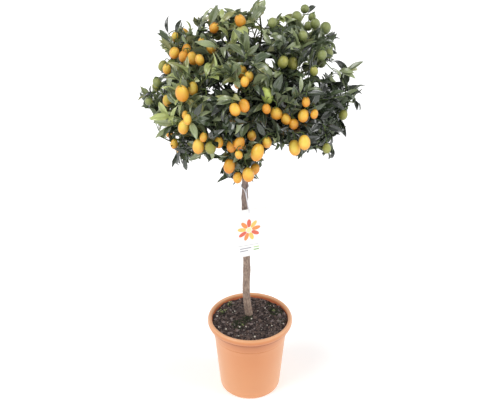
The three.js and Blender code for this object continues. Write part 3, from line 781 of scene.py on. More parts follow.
def trunk_point(share):
    """The trunk's axis: a smooth curve through even steps of height."""
    knots = [
        Vector((x / 1000, y / 1000, lerp(trunk_bottom, trunk_top, i / (len(trunk_wander) - 1))))
        for i, (x, y) in enumerate(trunk_wander)
    ]
    knots = [2 * knots[0] - knots[1], *knots, 2 * knots[-1] - knots[-2]]
    place = min(max(share, 0), 1) * (len(knots) - 3)
    i = min(int(place), len(knots) - 4)
    return through_knots(*knots[i : i + 4], place - i)


def trunk_radius(share):
    z = lerp(trunk_bottom, trunk_top, share)
    flare = trunk_flare * math.exp(-(z - SOIL_TOP) / flare_height)
    swell = sum(size * math.exp(-(((z - at) / knot_length) ** 2)) for at, size in trunk_knots)
    return lerp(*trunk_radii, share) + flare + swell


def mass_centre(name):
    heading, lift, out = MASSES[name][:3]
    h, v = math.radians(heading), math.radians(lift)
    round_size, height = crown_half_width * out * math.cos(v), crown_half_height * out * math.sin(v)
    return crown_heart + Vector((round_size * math.cos(h), round_size * math.sin(h), height))


def bough_curve(name):
    """The course of a bough: it leaves its parent half along it, and points at its mass's middle."""
    _, lift, _, spread, parent, at = MASSES[name]
    centre, parent_point = mass_centre(name), limbs[parent]["point"]
    root = parent_point(at)
    tangent = (parent_point(min(at + 1e-4, 1)) - parent_point(at - 1e-4)).normalized()
    aim = (centre - root).normalized()
    leaving = tangent.lerp(aim, 0.5).normalized()
    entering = (aim + UP * (-0.15 if lift > 0 else 0.1)).normalized()
    tip = centre - entering * bough_entry * spread / 1000
    handle = (tip - root).length / 3
    return lambda share: bowed(root, root + leaving * handle, tip - entering * handle, tip, share)


def add_limb(name, point, radii, rings):
    """Keeps a limb's curve and radius, and its end, where the foliage that it carries starts."""
    last = point(1)
    heading = (last - point(1 - 1 / rings)).normalized()
    limbs[name] = {"point": point, "radius": radii, "end": last + heading * wood_gap, "heading": heading}


add_limb("trunk", trunk_point, trunk_radius, 15)
for mass_name, (_, _, _, _, parent_name, _) in MASSES.items():
    thick, thin = bough_radii["primary" if parent_name == "trunk" else "secondary"]
    add_limb(mass_name, bough_curve(mass_name), lambda s, a=thick, b=thin: lerp(a, b, s), 5)


def sideways(direction, angle):
    """A unit vector square to direction, turned round it from the one that lies level."""
    across = direction.cross(UP)
    across = across.normalized() if across.length > 1e-3 else Vector((1, 0, 0))
    return Quaternion(direction, angle) @ across


def tube(path, radii, sides, relief=None, loop=False):
    """A round limb along a path, closed at both ends or a loop. relief adds to its radius."""
    vertices, count = [], len(path)
    normal = UP.cross(path[1] - path[0]).normalized() if loop else None
    for i, centre in enumerate(path):
        before, after = (i - 1, (i + 1) % count) if loop else (max(i - 1, 0), min(i + 1, count - 1))
        run = (path[after] - path[before]).normalized()
        normal = sideways(run, 0) if normal is None else (normal - run * normal.dot(run)).normalized()
        binormal = run.cross(normal)
        for k in range(sides):
            a = TURN * k / sides
            radius = radii[i] + (relief(centre, a, radii[i]) if relief else 0)
            vertices.append(centre + (normal * math.cos(a) + binormal * math.sin(a)) * radius)
    if loop:
        return vertices, [tuple(i % len(vertices) for i in face) for face in ring_faces(count, sides)]
    ends = [tuple(reversed(range(sides))), tuple(range((count - 1) * sides, count * sides))]
    return vertices, ring_faces(count - 1, sides) + ends


def joined(parts):
    """One list of vertices and one of faces from many."""
    vertices, faces = [], []
    for some_vertices, some_faces in parts:
        base = len(vertices)
        vertices += some_vertices
        faces += [tuple(base + i for i in f) for f in some_faces]
    return vertices, faces


# furrows, grain and faint rings: waves in a metre across and along, and height as a share of the radius
BARK_WAVES = [(420, 60, 0.030), (1300, 420, 0.022), (60, 330, 0.022)]
ROOT_LOBES, LOBE_HEIGHT, LOBES_END = 0.05, 0.012, 0.26


def bark_relief(centre, angle, radius):
    """How far the bark stands out, with three lobes round the trunk's foot."""
    x, y, z = radius * math.cos(angle), radius * math.sin(angle), centre.z
    rough = sum(size * noise.noise((x * a, y * a, z * b)) for a, b, size in BARK_WAVES)
    lobes = ROOT_LOBES * math.exp(-(z - SOIL_TOP) / LOBE_HEIGHT) * math.sin(3 * angle + 0.8)
    return radius * (rough + (lobes if z < LOBES_END else 0))


def limb_mesh(name, sides, step):
    point, radius = limbs[name]["point"], limbs[name]["radius"]
    length = sum((point((i + 1) / 40) - point(i / 40)).length for i in range(40))
    rings = max(6, int(length / step))
    shares = [i / rings for i in range(rings + 1)]
    return tube([point(s) for s in shares], [radius(s) for s in shares], sides, bark_relief)


trunk_bark = finish_of(
    "trunk_bark",
    (172, 151, 134), (130, 111, 100), (240, 7, 0.45, 0.36, 0.62), (0.78, 0.92), (1500, 5, 0.5, 0.7, 0.0008),
    specular_ior_level=0.3,
)
bough_bark = finish_of(
    "bough_bark",
    (122, 108, 92), (84, 80, 62), (200, 6, 1, 0.36, 0.62), (0.7, 0.88), (1500, 4, 1, 0.5, 0.0006),
    specular_ior_level=0.3,
)
# it is a little darker and greyer towards the top, up under the crown
shaded_by_height(trunk_bark, [(0, (255, 255, 255)), (0.40, (250, 250, 252)), (0.60, (232, 233, 246))])
trunk_piece = mesh_piece("trunk_bark", *limb_mesh("trunk", 48, 0.0016), [trunk_bark])
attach(trunk_piece, "root")
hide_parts("trunk")
boughs_piece = mesh_piece("bough_bark", *joined(limb_mesh(name, 16, 0.003) for name in MASSES), [bough_bark])
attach(boughs_piece, "root")
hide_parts(*["bough_" + name for name in MASSES])


# ------------------------------------------------------------------------------ twigs of the crown
# From each bough's end a stem runs into its mass of foliage and divides into twigs, then into this year's
# green shoots, which carry the leaves. Stems and twigs are those of the part; the shoots go on by that rule.
GOLDEN = math.radians(137.5)
STEM_RINGS, STEM_LENGTH, STEM_LIFT = 3, 0.9, 0.05
TWIGS_PER_MASS, SHOOTS_PER_TWIG = 6, 5
TWIG_WANDER, TWIG_LIFT = 0.25, 0.14
SHOOT_LENGTH, SHOOT_LIFT = 0.040, 0.16
STEM_RADII, TWIG_RADII, SHOOT_RADII = (0.0024, 0.0017), (0.0014, 0.0011), (0.0012, 0.0008)
DRAW = {  # the first or last part of each draw's address, by what it is for
    "stem": 90, "twig_turn": 91, "twig_angle": 92, "twig_length": 93, "twig_path": 94, "shoot": 120,
    "seen_fruit": 200, "bunch_left_out": 210, "bunch_green": 211, "bunch_size": 212, "fruit_size": 213,
    "fruit_place": 214, "rind": 220, "gap": 230,
    "tone": 300, "leaf_count": 301, "leaf": 302, "leaf_turn": 303,
}
CELL_GAP, TWIG_CLEARANCE = 0.0006, 0.003


def chance(*address):
    """A repeatable number from 0 to 1 for an address such as (mass, twig, leaf, use)."""
    h = SEED
    for part in address:
        h = (h ^ (part + 1)) * 0x9E3779B1 & 0xFFFFFFFF
        h ^= h >> 15
    h = (h ^ (h >> 13)) * 0x85EBCA6B & 0xFFFFFFFF
    h ^= h >> 16
    return h / 4294967296


def swing(*address):
    """A repeatable number from -1 to 1."""
    return 2 * chance(*address) - 1


def branching(direction, angle, bearing):
    """A direction that branches off at an angle, on the side that the bearing gives."""
    return (direction * math.cos(angle) + sideways(direction, bearing) * math.sin(angle)).normalized()


def crown_share(point):
    """How far out a point lies in the crown, where 1 is its surface."""
    x, y, z = point - crown_heart
    return math.hypot(x / crown_half_width, y / crown_half_width, z / crown_half_height)


def in_space(name, point):
    """Whether a point is in the mass's own space: round, and cut flat half-way to each neighbour."""
    centre, spread = mass_centre(name), MASSES[name][3] / 1000
    if (point - centre).length > spread or crown_share(point) > crown_reach:
        return False
    for other in MASSES:
        if other != name:
            between = mass_centre(other) - centre
            half = between.length / 2 + (spread - MASSES[other][3] / 1000) / 4
            if (point - centre).dot(between.normalized()) >= half - CELL_GAP:
                return False
    return True


def grow_path(start, direction, length, rings, lift, address):
    """A wandering run of straight pieces that bends upward."""
    path, heading = [start.copy()], direction.copy()
    for i in range(rings):
        stray = Vector([swing(*address, i, axis) for axis in (1, 2, 3)])
        heading = (heading + UP * lift + stray * TWIG_WANDER).normalized()
        path.append(path[i] + heading * length / rings)
    return path


def along(path, share):
    """The point and direction at a share of a path's length."""
    place = min(share, 0.9999) * (len(path) - 1)
    i = int(place)
    direction = path[i + 1] - path[i]
    return path[i] + direction * (place - i), direction.normalized()


def grow_stem(name, index):
    spread, end, heading = MASSES[name][3] / 1000, limbs[name]["end"], limbs[name]["heading"]
    step = STEM_LENGTH * spread / STEM_RINGS
    second = end + heading * step
    rest = STEM_RINGS - 1
    return [end, *grow_path(second, heading, step * rest, rest, STEM_LIFT, [index, DRAW["stem"]])]


limb_places = np.array([
    tuple(limb["point"](i / 60)) + (limb["radius"](i / 60),) for limb in limbs.values() for i in range(61)
])


def clear_of_limbs(point, margin):
    gaps = np.linalg.norm(limb_places[:, :3] - np.array(point), axis=1) - limb_places[:, 3]
    return gaps.min() > margin


def grow_twigs(name, index, stem):
    twigs = []
    for t in range(TWIGS_PER_MASS):
        step = t / (TWIGS_PER_MASS - 1)
        foot, run = along(stem, lerp(0.25, 1, step))
        bearing = GOLDEN * t + TURN * chance(index, DRAW["twig_turn"])
        angle = math.radians(lerp(80, 20, step) + 10 * swing(index, t, DRAW["twig_angle"]))
        size = 1 + 0.12 * swing(index, t, DRAW["twig_length"])
        length = MASSES[name][3] / 1000 * lerp(0.56, 0.42, step) * size
        path = grow_path(
            foot, branching(run, angle, bearing), length, 1, TWIG_LIFT, [index, t, DRAW["twig_path"]]
        )
        if in_space(name, path[-1]) and clear_of_limbs(path[-1], TWIG_CLEARANCE):
            twigs.append(path)
    return twigs


def edge_of_crown(direction):
    """How far out leaves may reach that way: the crown's surface, with shallow hollows and bulges."""
    return crown_reach - 0.01 + 0.035 * noise.noise(direction * 3.1)


def grow_shoots(index, twig, t):
    """This year's shoots: four along a twig and one from its tip, each shortened to stay inside the crown."""
    shoots = []
    for j in range(SHOOTS_PER_TWIG):
        tip = j == SHOOTS_PER_TWIG - 1
        foot, run = along(twig, 1 if tip else lerp(0.2, 0.9, j / 3))
        bearing = GOLDEN * j + TURN * chance(index, t, DRAW["shoot"])
        angle = math.radians(8 if tip else 52 + 14 * swing(index, t, j, DRAW["shoot"]))
        length = SHOOT_LENGTH * (1 + 0.35 * swing(index, t, j, DRAW["shoot"] + 1))
        heading, address = branching(run, angle, bearing), [index, t, j, DRAW["shoot"] + 2]
        for shorter in (1, 0.8, 0.6, 0.4):
            path = grow_path(foot, heading, length * shorter, 3, SHOOT_LIFT, address)
            outward = (path[-1] - crown_heart).normalized()
            if not in_hollow(path[1:]) and crown_share(path[-1]) < edge_of_crown(outward) - 0.12:
                shoots.append(path)
                break
    return shoots


# Hollows in the crown's outline and openings through it, by their place in the camera's view:
# (x, y, half width, half height).
VIEW_HOLLOWS = {
    "upper_left": (150, 40, 9, 18),
    "upper_left_tip": (157, 22, 5, 9),
    "upper_left_notch": (159, 60, 7, 13),
    "upper_left_cleft": (171.5, 22, 2.5, 8),
    "upper_left_second_cleft": (185, 24, 3.5, 8),
    "far_left_high": (145, 77, 14, 9),
    "far_left_nook": (154, 88, 6, 4),
    "far_left": (131, 97, 9, 12),
    "far_left_low": (142, 114, 10, 8),
    "lower_left": (145, 133, 11, 13),
    "lower_left_notch": (161, 142, 9, 5),
    "left_underside": (164, 158, 8, 12),
    "left_droop_cleft": (180, 166, 2, 6),
    "left_below": (201, 169, 15, 10),
    "crest_left": (193, 6, 14, 11),
    "crest_left_notch": (186, 22, 4, 8),
    "crest_left_opening": (195, 29, 3, 6),
    "crest_opening": (207, 27, 3, 5),
    "crest": (235, -4, 24, 12),
    "crest_right": (285, 4, 15, 10),
    "below_crest": (262, 23, 7, 3),
    "crest_notch": (270, 14, 6, 4.5),
    "below_crest_right": (283, 24, 4, 3),
    "top_right": (336, 14, 14, 9),
    "top_right_opening": (309, 29, 4, 2),
    "upper_right_rim": (350, 38, 12, 17),
    "upper_right_shelf": (346, 56, 12, 5.5),
    "upper_right_gap": (327, 66, 9, 5),
    "upper_right_gap_below": (320, 74, 5, 4),
    "right_notch": (355, 81, 5, 4),
    "far_right": (371, 95, 8, 22),
    "lower_right_rim": (358, 128, 12, 13),
    "right_underside": (346, 151, 10, 11),
    "right_underside_nook": (340, 141, 8, 6),
    "far_right_below": (356, 118, 7, 5),
    "right_below": (307, 167, 23, 13),
    "right_below_far": (322, 164, 9, 8),
    "right_fork": (284, 156, 12, 11),
    "right_below_middle": (314, 156, 7, 7),
    "skirt_left": (206, 175, 12, 11),
    "skirt_left_inner": (218, 165, 7, 6),
    "skirt_left_low": (225, 187, 13, 8),
    "skirt_right": (270, 175, 12, 11),
    "skirt_right_high": (269, 158, 6, 11),
    "skirt_right_low": (262, 186, 9, 11),
    "stem_below_skirt": (245, 191, 13, 7),
    "left_opening": (211, 90.5, 4.5, 3.5),
    "left_opening_above": (224, 84, 5, 3),
    "left_opening_right": (235, 88, 3, 5),
    "upper_opening": (224, 58, 1.5, 1.5),
    "upper_left_opening": (220, 38, 6, 4),
    "high_right_opening": (255, 33, 5, 4),
    "high_right_opening_low": (263, 46, 3, 2.4),
    "high_right_opening_far": (272, 37, 3, 2),
    "middle_opening": (269, 61, 4, 3),
    "right_opening": (306, 64, 3.5, 2.5),
    "right_opening_low": (306, 74, 2.5, 2),
    "right_opening_far": (316, 85, 4.5, 2.2),
    "right_rim_opening": (337, 78, 1.5, 3),
    "far_right_opening": (350, 106, 3, 5),
    "low_left_opening": (208, 131, 4, 3),
    "low_middle_opening": (219, 151, 5, 4),
}
hollow_places = np.array(list(VIEW_HOLLOWS.values()))


def in_hollow(points, size=1.0):
    """Whether any of the points falls in a hollow, whose width is scaled by size."""
    places, _ = in_view(points)
    gap = (places[:, None] - hollow_places[None, :, :2]) / hollow_places[None, :, 2:]
    angle = np.arctan2(gap[..., 1], gap[..., 0])
    ripple = 1 + 0.2 * np.sin(3 * angle + np.arange(len(hollow_places)))
    return bool(np.any(np.hypot(gap[..., 0], gap[..., 1]) < size * ripple))


stems, twigs, shoots = [], [], []  # each a (group, path), where the group is the main bough that carries it
MAIN_BOUGHS = [name for name in MASSES if MASSES[name][4] == "trunk"]


def main_bough(name):
    """The main bough that a mass's own bough grows from, or is."""
    parent = MASSES[name][4]
    return name if parent == "trunk" else main_bough(parent)


for mass_index, mass_name in enumerate(MASSES):
    group, stem = main_bough(mass_name), grow_stem(mass_name, mass_index)
    stems.append((group, stem))
    for t, twig in enumerate(grow_twigs(mass_name, mass_index, stem)):
        if not in_hollow([twig[-1]]):
            twigs.append((group, twig))
            shoots += [(group, path) for path in grow_shoots(mass_index, twig, t)]

twig_bark = finish_of(
    "twig_bark",
    (92, 96, 58), (70, 72, 46), (200, 4, 1, 0.4, 0.6), (0.6, 0.8), (1500, 3, 1, 0.4, 0.0005),
    specular_ior_level=0.35,
)
shoot_bark = finish_of(
    "shoot_bark",
    (84, 104, 52), (98, 114, 56), (200, 3, 1, 0.4, 0.6), (0.5, 0.65), (1500, 3, 1, 0.3, 0.0004),
    specular_ior_level=0.4,
)


def smooth_path(path, steps=3, loop=False):
    """The same run with its corners rounded."""
    if loop:
        knots = [path[-1], *path, path[0], path[1]]
    else:
        knots = [2 * path[0] - path[1], *path, 2 * path[-1] - path[-2]]
    spans = range(len(knots) - 3)
    points = [through_knots(*knots[i : i + 4], k / steps) for i in spans for k in range(steps)]
    return points if loop else points + [path[-1]]


def twig_tube(path, radii, sides):
    """A thin round twig along a path, from its thick end to its thin one."""
    points = smooth_path(path)
    return tube(points, [lerp(*radii, i / (len(points) - 1)) for i in range(len(points))], sides)


# ------------------------------------------------------------------------------ sprays at the crown's edge
# Longer shoots that reach to the edge of the crown and end in a fan of leaves: they give the crown its ragged
# outline. Each is given by the place of its tip in the camera's view, and grows there from the nearest wood.
def on_sight_line(x, y, share):
    """Where a view place's sight line enters the crown's surface scaled by share, or passes nearest it."""
    ray = view_forward * VIEW_FOCAL + view_right * (x - VIEW_WIDTH / 2) + view_up * (VIEW_HEIGHT / 2 - y)
    scale = Vector((1 / crown_half_width, 1 / crown_half_width, 1 / crown_half_height))
    start, step = (camera_place - crown_heart) * scale, ray * scale
    a, b, c = step.dot(step), step.dot(start), start.dot(start) - share ** 2
    return camera_place + ray * ((-b - math.sqrt(max(b * b - a * c, 0))) / a)


wood_points, wood_runs, wood_groups = [], [], []


def add_wood(group, path):
    """Notes places along a twig, for what grows on from the nearest wood."""
    for share in np.linspace(0.15, 1, 7):
        place, run = along(path, share)
        wood_points.append(tuple(place))
        wood_runs.append(run)
        wood_groups.append(group)


for group, path in stems + twigs + shoots:
    add_wood(group, path)


def nearest_wood(point, before=0.0):
    """The nearest place on a twig or shoot that is not below the point, and how far off it seems.
    What lies before the point costs more by the share before."""
    away = np.array(wood_points) - np.array(point)
    cost = np.linalg.norm(away, axis=1) + 0.8 * np.clip(-away[:, 2], 0, None)
    cost += before * np.clip(-(away @ np.array(view_forward)), 0, None)
    i = int(cost.argmin())
    return i, float(cost[i])


def leaving_wood(i, aim):
    """Where a new shoot leaves the wood, and which way: between the wood's own run and its aim."""
    start = Vector(wood_points[i])
    return start, (wood_runs[i] + (aim - start).normalized()).normalized()


def run_between(start, leaving, end, arriving, steps):
    """A curve from start, along leaving, to end, along arriving."""
    handle = (end - start).length * 0.4
    a, b = start + leaving * handle, end - arriving * handle
    return [bowed(start, a, b, end, i / steps) for i in range(steps + 1)]


GAP_TRIES, GAP_NEAR, GAP_FAR = 1200, 0.021, 0.080  # places tried, and how far off the wood may be


def fill_gaps():
    """More shoots from the nearest wood, to places in the crown that none of it comes near yet."""
    for n in range(GAP_TRIES):
        spot = Vector([swing(DRAW["gap"], n, i) for i in (1, 2, 3)])
        outward = spot.normalized()
        spot = crown_heart + spot * crown_size
        if crown_share(spot) > edge_of_crown(outward) - 0.14 or in_hollow([spot]):
            continue
        i, away = nearest_wood(spot)
        if not GAP_NEAR < away < GAP_FAR:
            continue
        start, leaving = leaving_wood(i, spot)
        arriving = ((spot - start).normalized() + outward * 0.5 + UP * 0.2).normalized()
        path = run_between(start, leaving, spot, arriving, 4)
        if not in_hollow(path[1:]):
            shoots.append((wood_groups[i], path))
            add_wood(wood_groups[i], path)


fill_gaps()

# name: (x and y of its tip, which way it leans in degrees clockwise from up, leaves, tone)
VIEW_SPRAYS = {
    "upper_left_rise": (169, 35, -24, 2, 1),
    "upper_left_rise_second": (176.5, 34, 8, 2, 1),
    "upper_left_tip": (171, 42, -20, 5, 2),
    "upper_left_second": (191, 30, 8, 5, 2),
    "crest_left": (210, 24, -8, 4, 4),
    "crest_young": (222, 22, 2, 2, 5),
    "crest_olive": (243, 23, -20, 4, 5),
    "crest_whip": (259, 13, 62, 2, 3),
    "crest_whip_foot": (257, 19, -20, 4, 4),
    "crest_right_inner": (269, 30, 60, 4, 4),
    "crest_right": (283, 27, 0, 3, 2),
    "top_right_tip": (311, 14, 95, 3, 1),
    "right_shoulder": (331, 44, 118, 4, 3),
    "far_right_high": (346, 72, 68, 4, 4),
    "far_right": (346, 97, 95, 6, 2),
    "far_right_droop": (356, 102, 172, 2, 1),
    "far_right_low": (328, 128, 120, 4, 0),
    "lower_right_droop": (327, 140, 168, 4, 1),
    "far_left": (156, 92, -64, 2, 1),
    "far_left_young": (168, 116, -80, 5, 6),
    "left_low_young": (169, 127, -115, 5, 4),
    "lower_right_hang": (333, 148, 172, 3, 1),
    "low_left_droop": (178, 154, -165, 4, 1),
    "low_left_droop_second": (186, 157, 172, 2, 1),
    "skirt_left": (232, 172, -112, 4, 2),
    "front_high": (246, 46, -20, 7, 3),
    "front_right_high": (284, 47, 5, 7, 2),
    "front_middle": (256, 66, 100, 5, 2),
    "front_left": (232, 98, -60, 5, 4),
    "front_low": (252, 150, -130, 4, 2),
    "left_middle": (196, 118, 60, 5, 2),
    "right_middle": (306, 92, 60, 5, 3),
}


def grow_to_view(x, y, lean, share, steps):
    """A run from the nearest wood to a place in the view, arriving with that lean. Returns its bough too."""
    tip = on_sight_line(x, y, share)
    turn = math.radians(lean)
    facing = view_right * math.sin(turn) + view_up * math.cos(turn)
    arriving = (facing + (tip - crown_heart).normalized() * 0.35).normalized()
    root_aim = tip - arriving * 0.03
    i, _ = nearest_wood(root_aim)
    start, leaving = leaving_wood(i, root_aim)
    return wood_groups[i], run_between(start, leaving, tip, arriving, steps)


sprays = []  # (group, path, leaves, tone)
for x, y, lean, leaf_count, leaf_tone in VIEW_SPRAYS.values():
    group, path = grow_to_view(x, y, lean, 0.93, 6)
    sprays.append((group, path, leaf_count, leaf_tone))
    add_wood(group, path)


# ------------------------------------------------------------------------------ fruit
# Small ovoid citrus fruit on short green stalks, some still green, most of them ripening through yellow to
# orange. The rind is thin, glossy and finely pitted with oil glands, and each fruit keeps its green calyx.

# Bunches that show, with each fruit's place in the camera's view and its size beside the usual.
VIEW_BUNCHES = {
    "crest": ("orange", [(240.2, 20.7, 1.05), (214.2, 27.6, 0.95)]),
    "upper_left": ("orange", [
        (174.4, 52.8, 1.0), (186.6, 49.7, 0.9), (183.6, 56.6, 0.95), (192.5, 58.2, 1.0), (199.6, 59.7, 0.85),
    ]),
    "upper_left_inner": ("orange", [(211.1, 48.7, 0.9), (201.2, 41.3, 0.6)]),
    "far_upper_left": ("yellow", [(174.8, 36.7, 0.7), (166.7, 68.9, 0.8)]),
    "far_left": ("green", [(156.8, 81.9, 0.8), (148.7, 101, 0.8)]),
    "left": ("yellow", [(182, 93.4, 1.25), (193, 88.5, 0.95), (167.2, 100.3, 0.9)]),
    "lower_left": ("yellow", [
        (183.6, 127, 1.05), (187.4, 119.4, 0.75), (185.1, 114.8, 0.6), (174.4, 143.9, 0.8),
    ]),
    "low_left": ("yellow", [(198.4, 146.2, 1.12), (203.5, 137, 0.7), (218.8, 142.4, 0.85)]),
    "low_left_turning": ("turning", [(210.4, 147.7, 1.05)]),
    "high_front": ("orange", [(241.4, 71.9, 1.05), (248.6, 76.5, 0.9), (244.8, 81.4, 0.8)]),
    "front": ("orange", [(234.9, 109.4, 1.0), (244, 105.6, 1.0)]),
    "low_front": ("orange", [
        (231.5, 146.2, 0.95), (239.4, 143.1, 1.0), (251.7, 135.5, 0.85), (238.7, 154.6, 0.7),
    ]),
    "low_front_right": ("yellow", [(257.5, 152.3, 1.2), (267, 142.4, 0.9)]),
    "skirt": ("orange", [
        (229.2, 166.1, 1.1), (248.3, 174.6, 1.15), (254.9, 168.8, 0.95), (237.6, 177.6, 0.9),
    ]),
    "right_green": ("fresh", [(267, 94.9, 1.05)]),
    "right": ("orange", [
        (266.5, 108.7, 0.8), (276.2, 113.3, 1.1), (285.7, 118.9, 0.95), (293.8, 124, 0.9), (303.4, 115.6, 1),
    ]),
    "right_inner": ("orange", [(306, 101.8, 0.75), (314.4, 114, 0.7)]),
    "lower_right": ("yellow", [(294.5, 147.7, 1.1), (304.5, 142.4, 1.1)]),
    "low_right": ("turning", [(326.7, 148.3, 0.85), (343.1, 114.8, 0.95)]),
    "right_olive": ("turning", [(283.1, 62, 1.0), (293, 63.5, 1.05), (314.1, 70.9, 0.8)]),
    "top_right": ("green", [
        (296.8, 16.8, 1.0), (304.8, 9.0, 0.9), (299.9, 9.9, 0.9), (312, 17, 0.8), (315.2, 23.7, 1.0),
    ]),
    "far_top_right": ("green", [(325.2, 28.3, 1.15), (308.3, 26, 0.9), (303, 36, 0.9), (272.4, 23, 0.9)]),
    "upper_right": ("green", [(328.7, 53.6, 0.9), (322.1, 55.1, 0.9)]),
}

FRUIT_SIZES = {  # width and length
    "green": (0.0215, 0.0240),
    "fresh": (0.0220, 0.0370),
    "turning": (0.0210, 0.0275),
    "yellow": (0.0215, 0.0295),
    "orange": (0.0215, 0.0270),
}
RULE_BUNCHES, BUNCH_SPREAD = 110, 0.022
STALK_RADII, STALK_REACH = (0.0011, 0.0009), 0.034
SPRAY_BEYOND = 0.022  # a bunch that shows farther than this from any wood gets a spray of its own


class Fruit:
    """One fruit: its middle, the axis from its free end to its stalk, its width, length and ripeness."""

    def __init__(self, centre, axis, width, length, ripeness, in_sight):
        self.centre, self.axis, self.width, self.length = centre, axis, width, length
        self.ripeness, self.in_sight = ripeness, in_sight

    def crowds(self, other):
        """Whether two fruit would run into each other."""
        gap = self.centre - other.centre
        across, high = (self.width + other.width) / 2, (self.length + other.length) / 2
        return math.hypot(gap.x / across, gap.y / across, gap.z / high) < 0.9

    def stalk_end(self):
        return self.centre + self.axis * self.length * 0.47


def hanging(address, ripeness, size):
    """The axis and size of a fruit that hangs by its stalk, a little aslant."""
    lean = Vector((swing(*address, 1), swing(*address, 2), 0)) * 0.45
    width, length = FRUIT_SIZES[ripeness]
    return (UP + lean).normalized(), width * size, length * size * (1 + 0.08 * swing(*address, 4))


def behind_crown(point):
    """Whether the crown lies between a point and the camera."""
    place, _ = in_view(point)
    entry = on_sight_line(*map(float, place), 0.88)
    return crown_share(entry) < 0.9 and (point - entry).dot(view_forward) > 0.11


def place_fruit():
    """First the bunches that show in the view, then more of them by rule round the back."""
    fruit = []
    for bunch, (ripeness, places) in enumerate(VIEW_BUNCHES.values()):
        mean_x, mean_y = (sum(place[i] for place in places) / len(places) for i in (0, 1))
        if nearest_wood(on_sight_line(mean_x, mean_y, 0.9))[1] > SPRAY_BEYOND:
            group, path = grow_to_view(mean_x, mean_y - 6, 0, 0.88, 5)
            sprays.append((group, path, 5, 2))
            add_wood(group, path)
        for k, (x, y, size) in enumerate(places):
            axis, width, length = hanging((DRAW["seen_fruit"], bunch, k), ripeness, size)
            options = []
            for share in np.arange(0.97, 0.6, -0.03):
                option = Fruit(on_sight_line(x, y, share), axis, width, length, ripeness, True)
                wood_height = wood_points[nearest_wood(option.centre)[0]][2]
                if ripeness == "green" and wood_height < option.centre.z - 0.01:
                    option.axis = Vector((axis.x, axis.y, -axis.z))  # a young fruit still stands on its stalk
                if not any(option.crowds(other) for other in fruit):
                    cost = nearest_wood(option.stalk_end(), 1.5)[1] + 0.12 * (0.97 - share)
                    options.append((cost, share, option))
            if options:
                fruit.append(min(options, key=lambda o: o[:2])[2])
    for n in range(RULE_BUNCHES):
        level = 1 - 2 * (n + 0.5) / RULE_BUNCHES
        turn, flat = GOLDEN * n, math.sqrt(1 - level ** 2)
        outward = Vector((flat * math.cos(turn), flat * math.sin(turn), level))
        if chance(DRAW["bunch_left_out"], n) < 0.45 or level < -0.85:
            continue
        place = crown_heart + outward * crown_size * 0.93
        i, away = nearest_wood(place)
        green_side = outward.x > 0.3 and (outward.z > 0.2 or chance(DRAW["bunch_green"], n) < 0.5)
        ripe = "green" if green_side else ("orange", "orange", "yellow", "turning")[n % 4]
        for k in range(1 + int(4 * chance(DRAW["bunch_size"], n))):
            size = 0.95 + 0.17 * swing(DRAW["fruit_size"], n, k, 3)
            axis, width, length = hanging((DRAW["fruit_size"], n, k), ripe, size)
            for attempt in range(10):
                stray = Vector([swing(DRAW["fruit_place"], n, k, attempt, i) for i in range(3)])
                stray *= BUNCH_SPREAD
                option = Fruit(place + stray * (0.3 if k == 0 else 1), axis, width, length, ripe, False)
                if crown_share(option.centre) > 0.99 or not behind_crown(option.centre):
                    continue
                if nearest_wood(option.stalk_end())[1] > STALK_REACH:
                    continue
                if not any(option.crowds(other) for other in fruit):
                    fruit.append(option)
                    break
    return fruit


all_fruit = place_fruit()
FRUIT_SIDES, FRUIT_RINGS = 22, 15


def fruit_mesh(item):
    """An ovoid, a little slimmer at the stalk, with a shallow dimple there and a blunt free end."""
    across = sideways(item.axis, 0)
    other = item.axis.cross(across)
    vertices, faces = [], []
    for ring in range(FRUIT_RINGS + 1):
        turn = math.pi * ring / FRUIT_RINGS
        radius = item.width / 2 * math.sin(turn) * (1 - 0.05 * math.cos(turn))
        height = item.length / 2 * (math.cos(turn) - 0.06 * max(0, math.cos(turn)) ** 24)
        centre = item.centre + item.axis * height
        if ring in (0, FRUIT_RINGS):
            vertices.append(centre)
            continue
        for k in range(FRUIT_SIDES):
            a = TURN * k / FRUIT_SIDES
            vertices.append(centre + (across * math.cos(a) + other * math.sin(a)) * radius)
    last = len(vertices) - 1
    for k in range(FRUIT_SIDES):
        following = (k + 1) % FRUIT_SIDES
        faces.append((0, 1 + k, 1 + following))
        faces.append((last, last - FRUIT_SIDES + following, last - FRUIT_SIDES + k))
        for ring in range(FRUIT_RINGS - 2):
            a, b = 1 + ring * FRUIT_SIDES + k, 1 + ring * FRUIT_SIDES + following
            faces.append((a, a + FRUIT_SIDES, b + FRUIT_SIDES, b))
    return vertices, faces


def stalk_path(item):
    """From the nearest wood, a curve that comes down on the fruit along its axis."""
    end = item.stalk_end()
    i, _ = nearest_wood(end, 1.5 if item.in_sight else 0)
    start, reach = Vector(wood_points[i]), (Vector(wood_points[i]) - end).length
    a = start + (wood_runs[i] + UP * 0.4).normalized() * reach * 0.35
    b = end + item.axis * (0.004 + reach * 0.3)
    return [bowed(start, a, b, end, i / 7) for i in range(8)]


def calyx_mesh(item):
    """A flat green star of five lobes that sits on the stalk end."""
    across = sideways(item.axis, 0)
    other = item.axis.cross(across)
    seat = item.centre + item.axis * item.length * 0.445
    top = seat + item.axis * 0.0016
    rim = []
    for k in range(10):
        radius = 0.0034 if k % 2 else 0.0020
        a = TURN * k / 10
        rim.append(seat + (across * math.cos(a) + other * math.sin(a)) * radius)
    faces = [(0, 1 + k, 1 + (k + 1) % 10) for k in range(10)]
    faces.append(tuple(1 + k for k in reversed(range(10))))
    return [top, *rim], faces


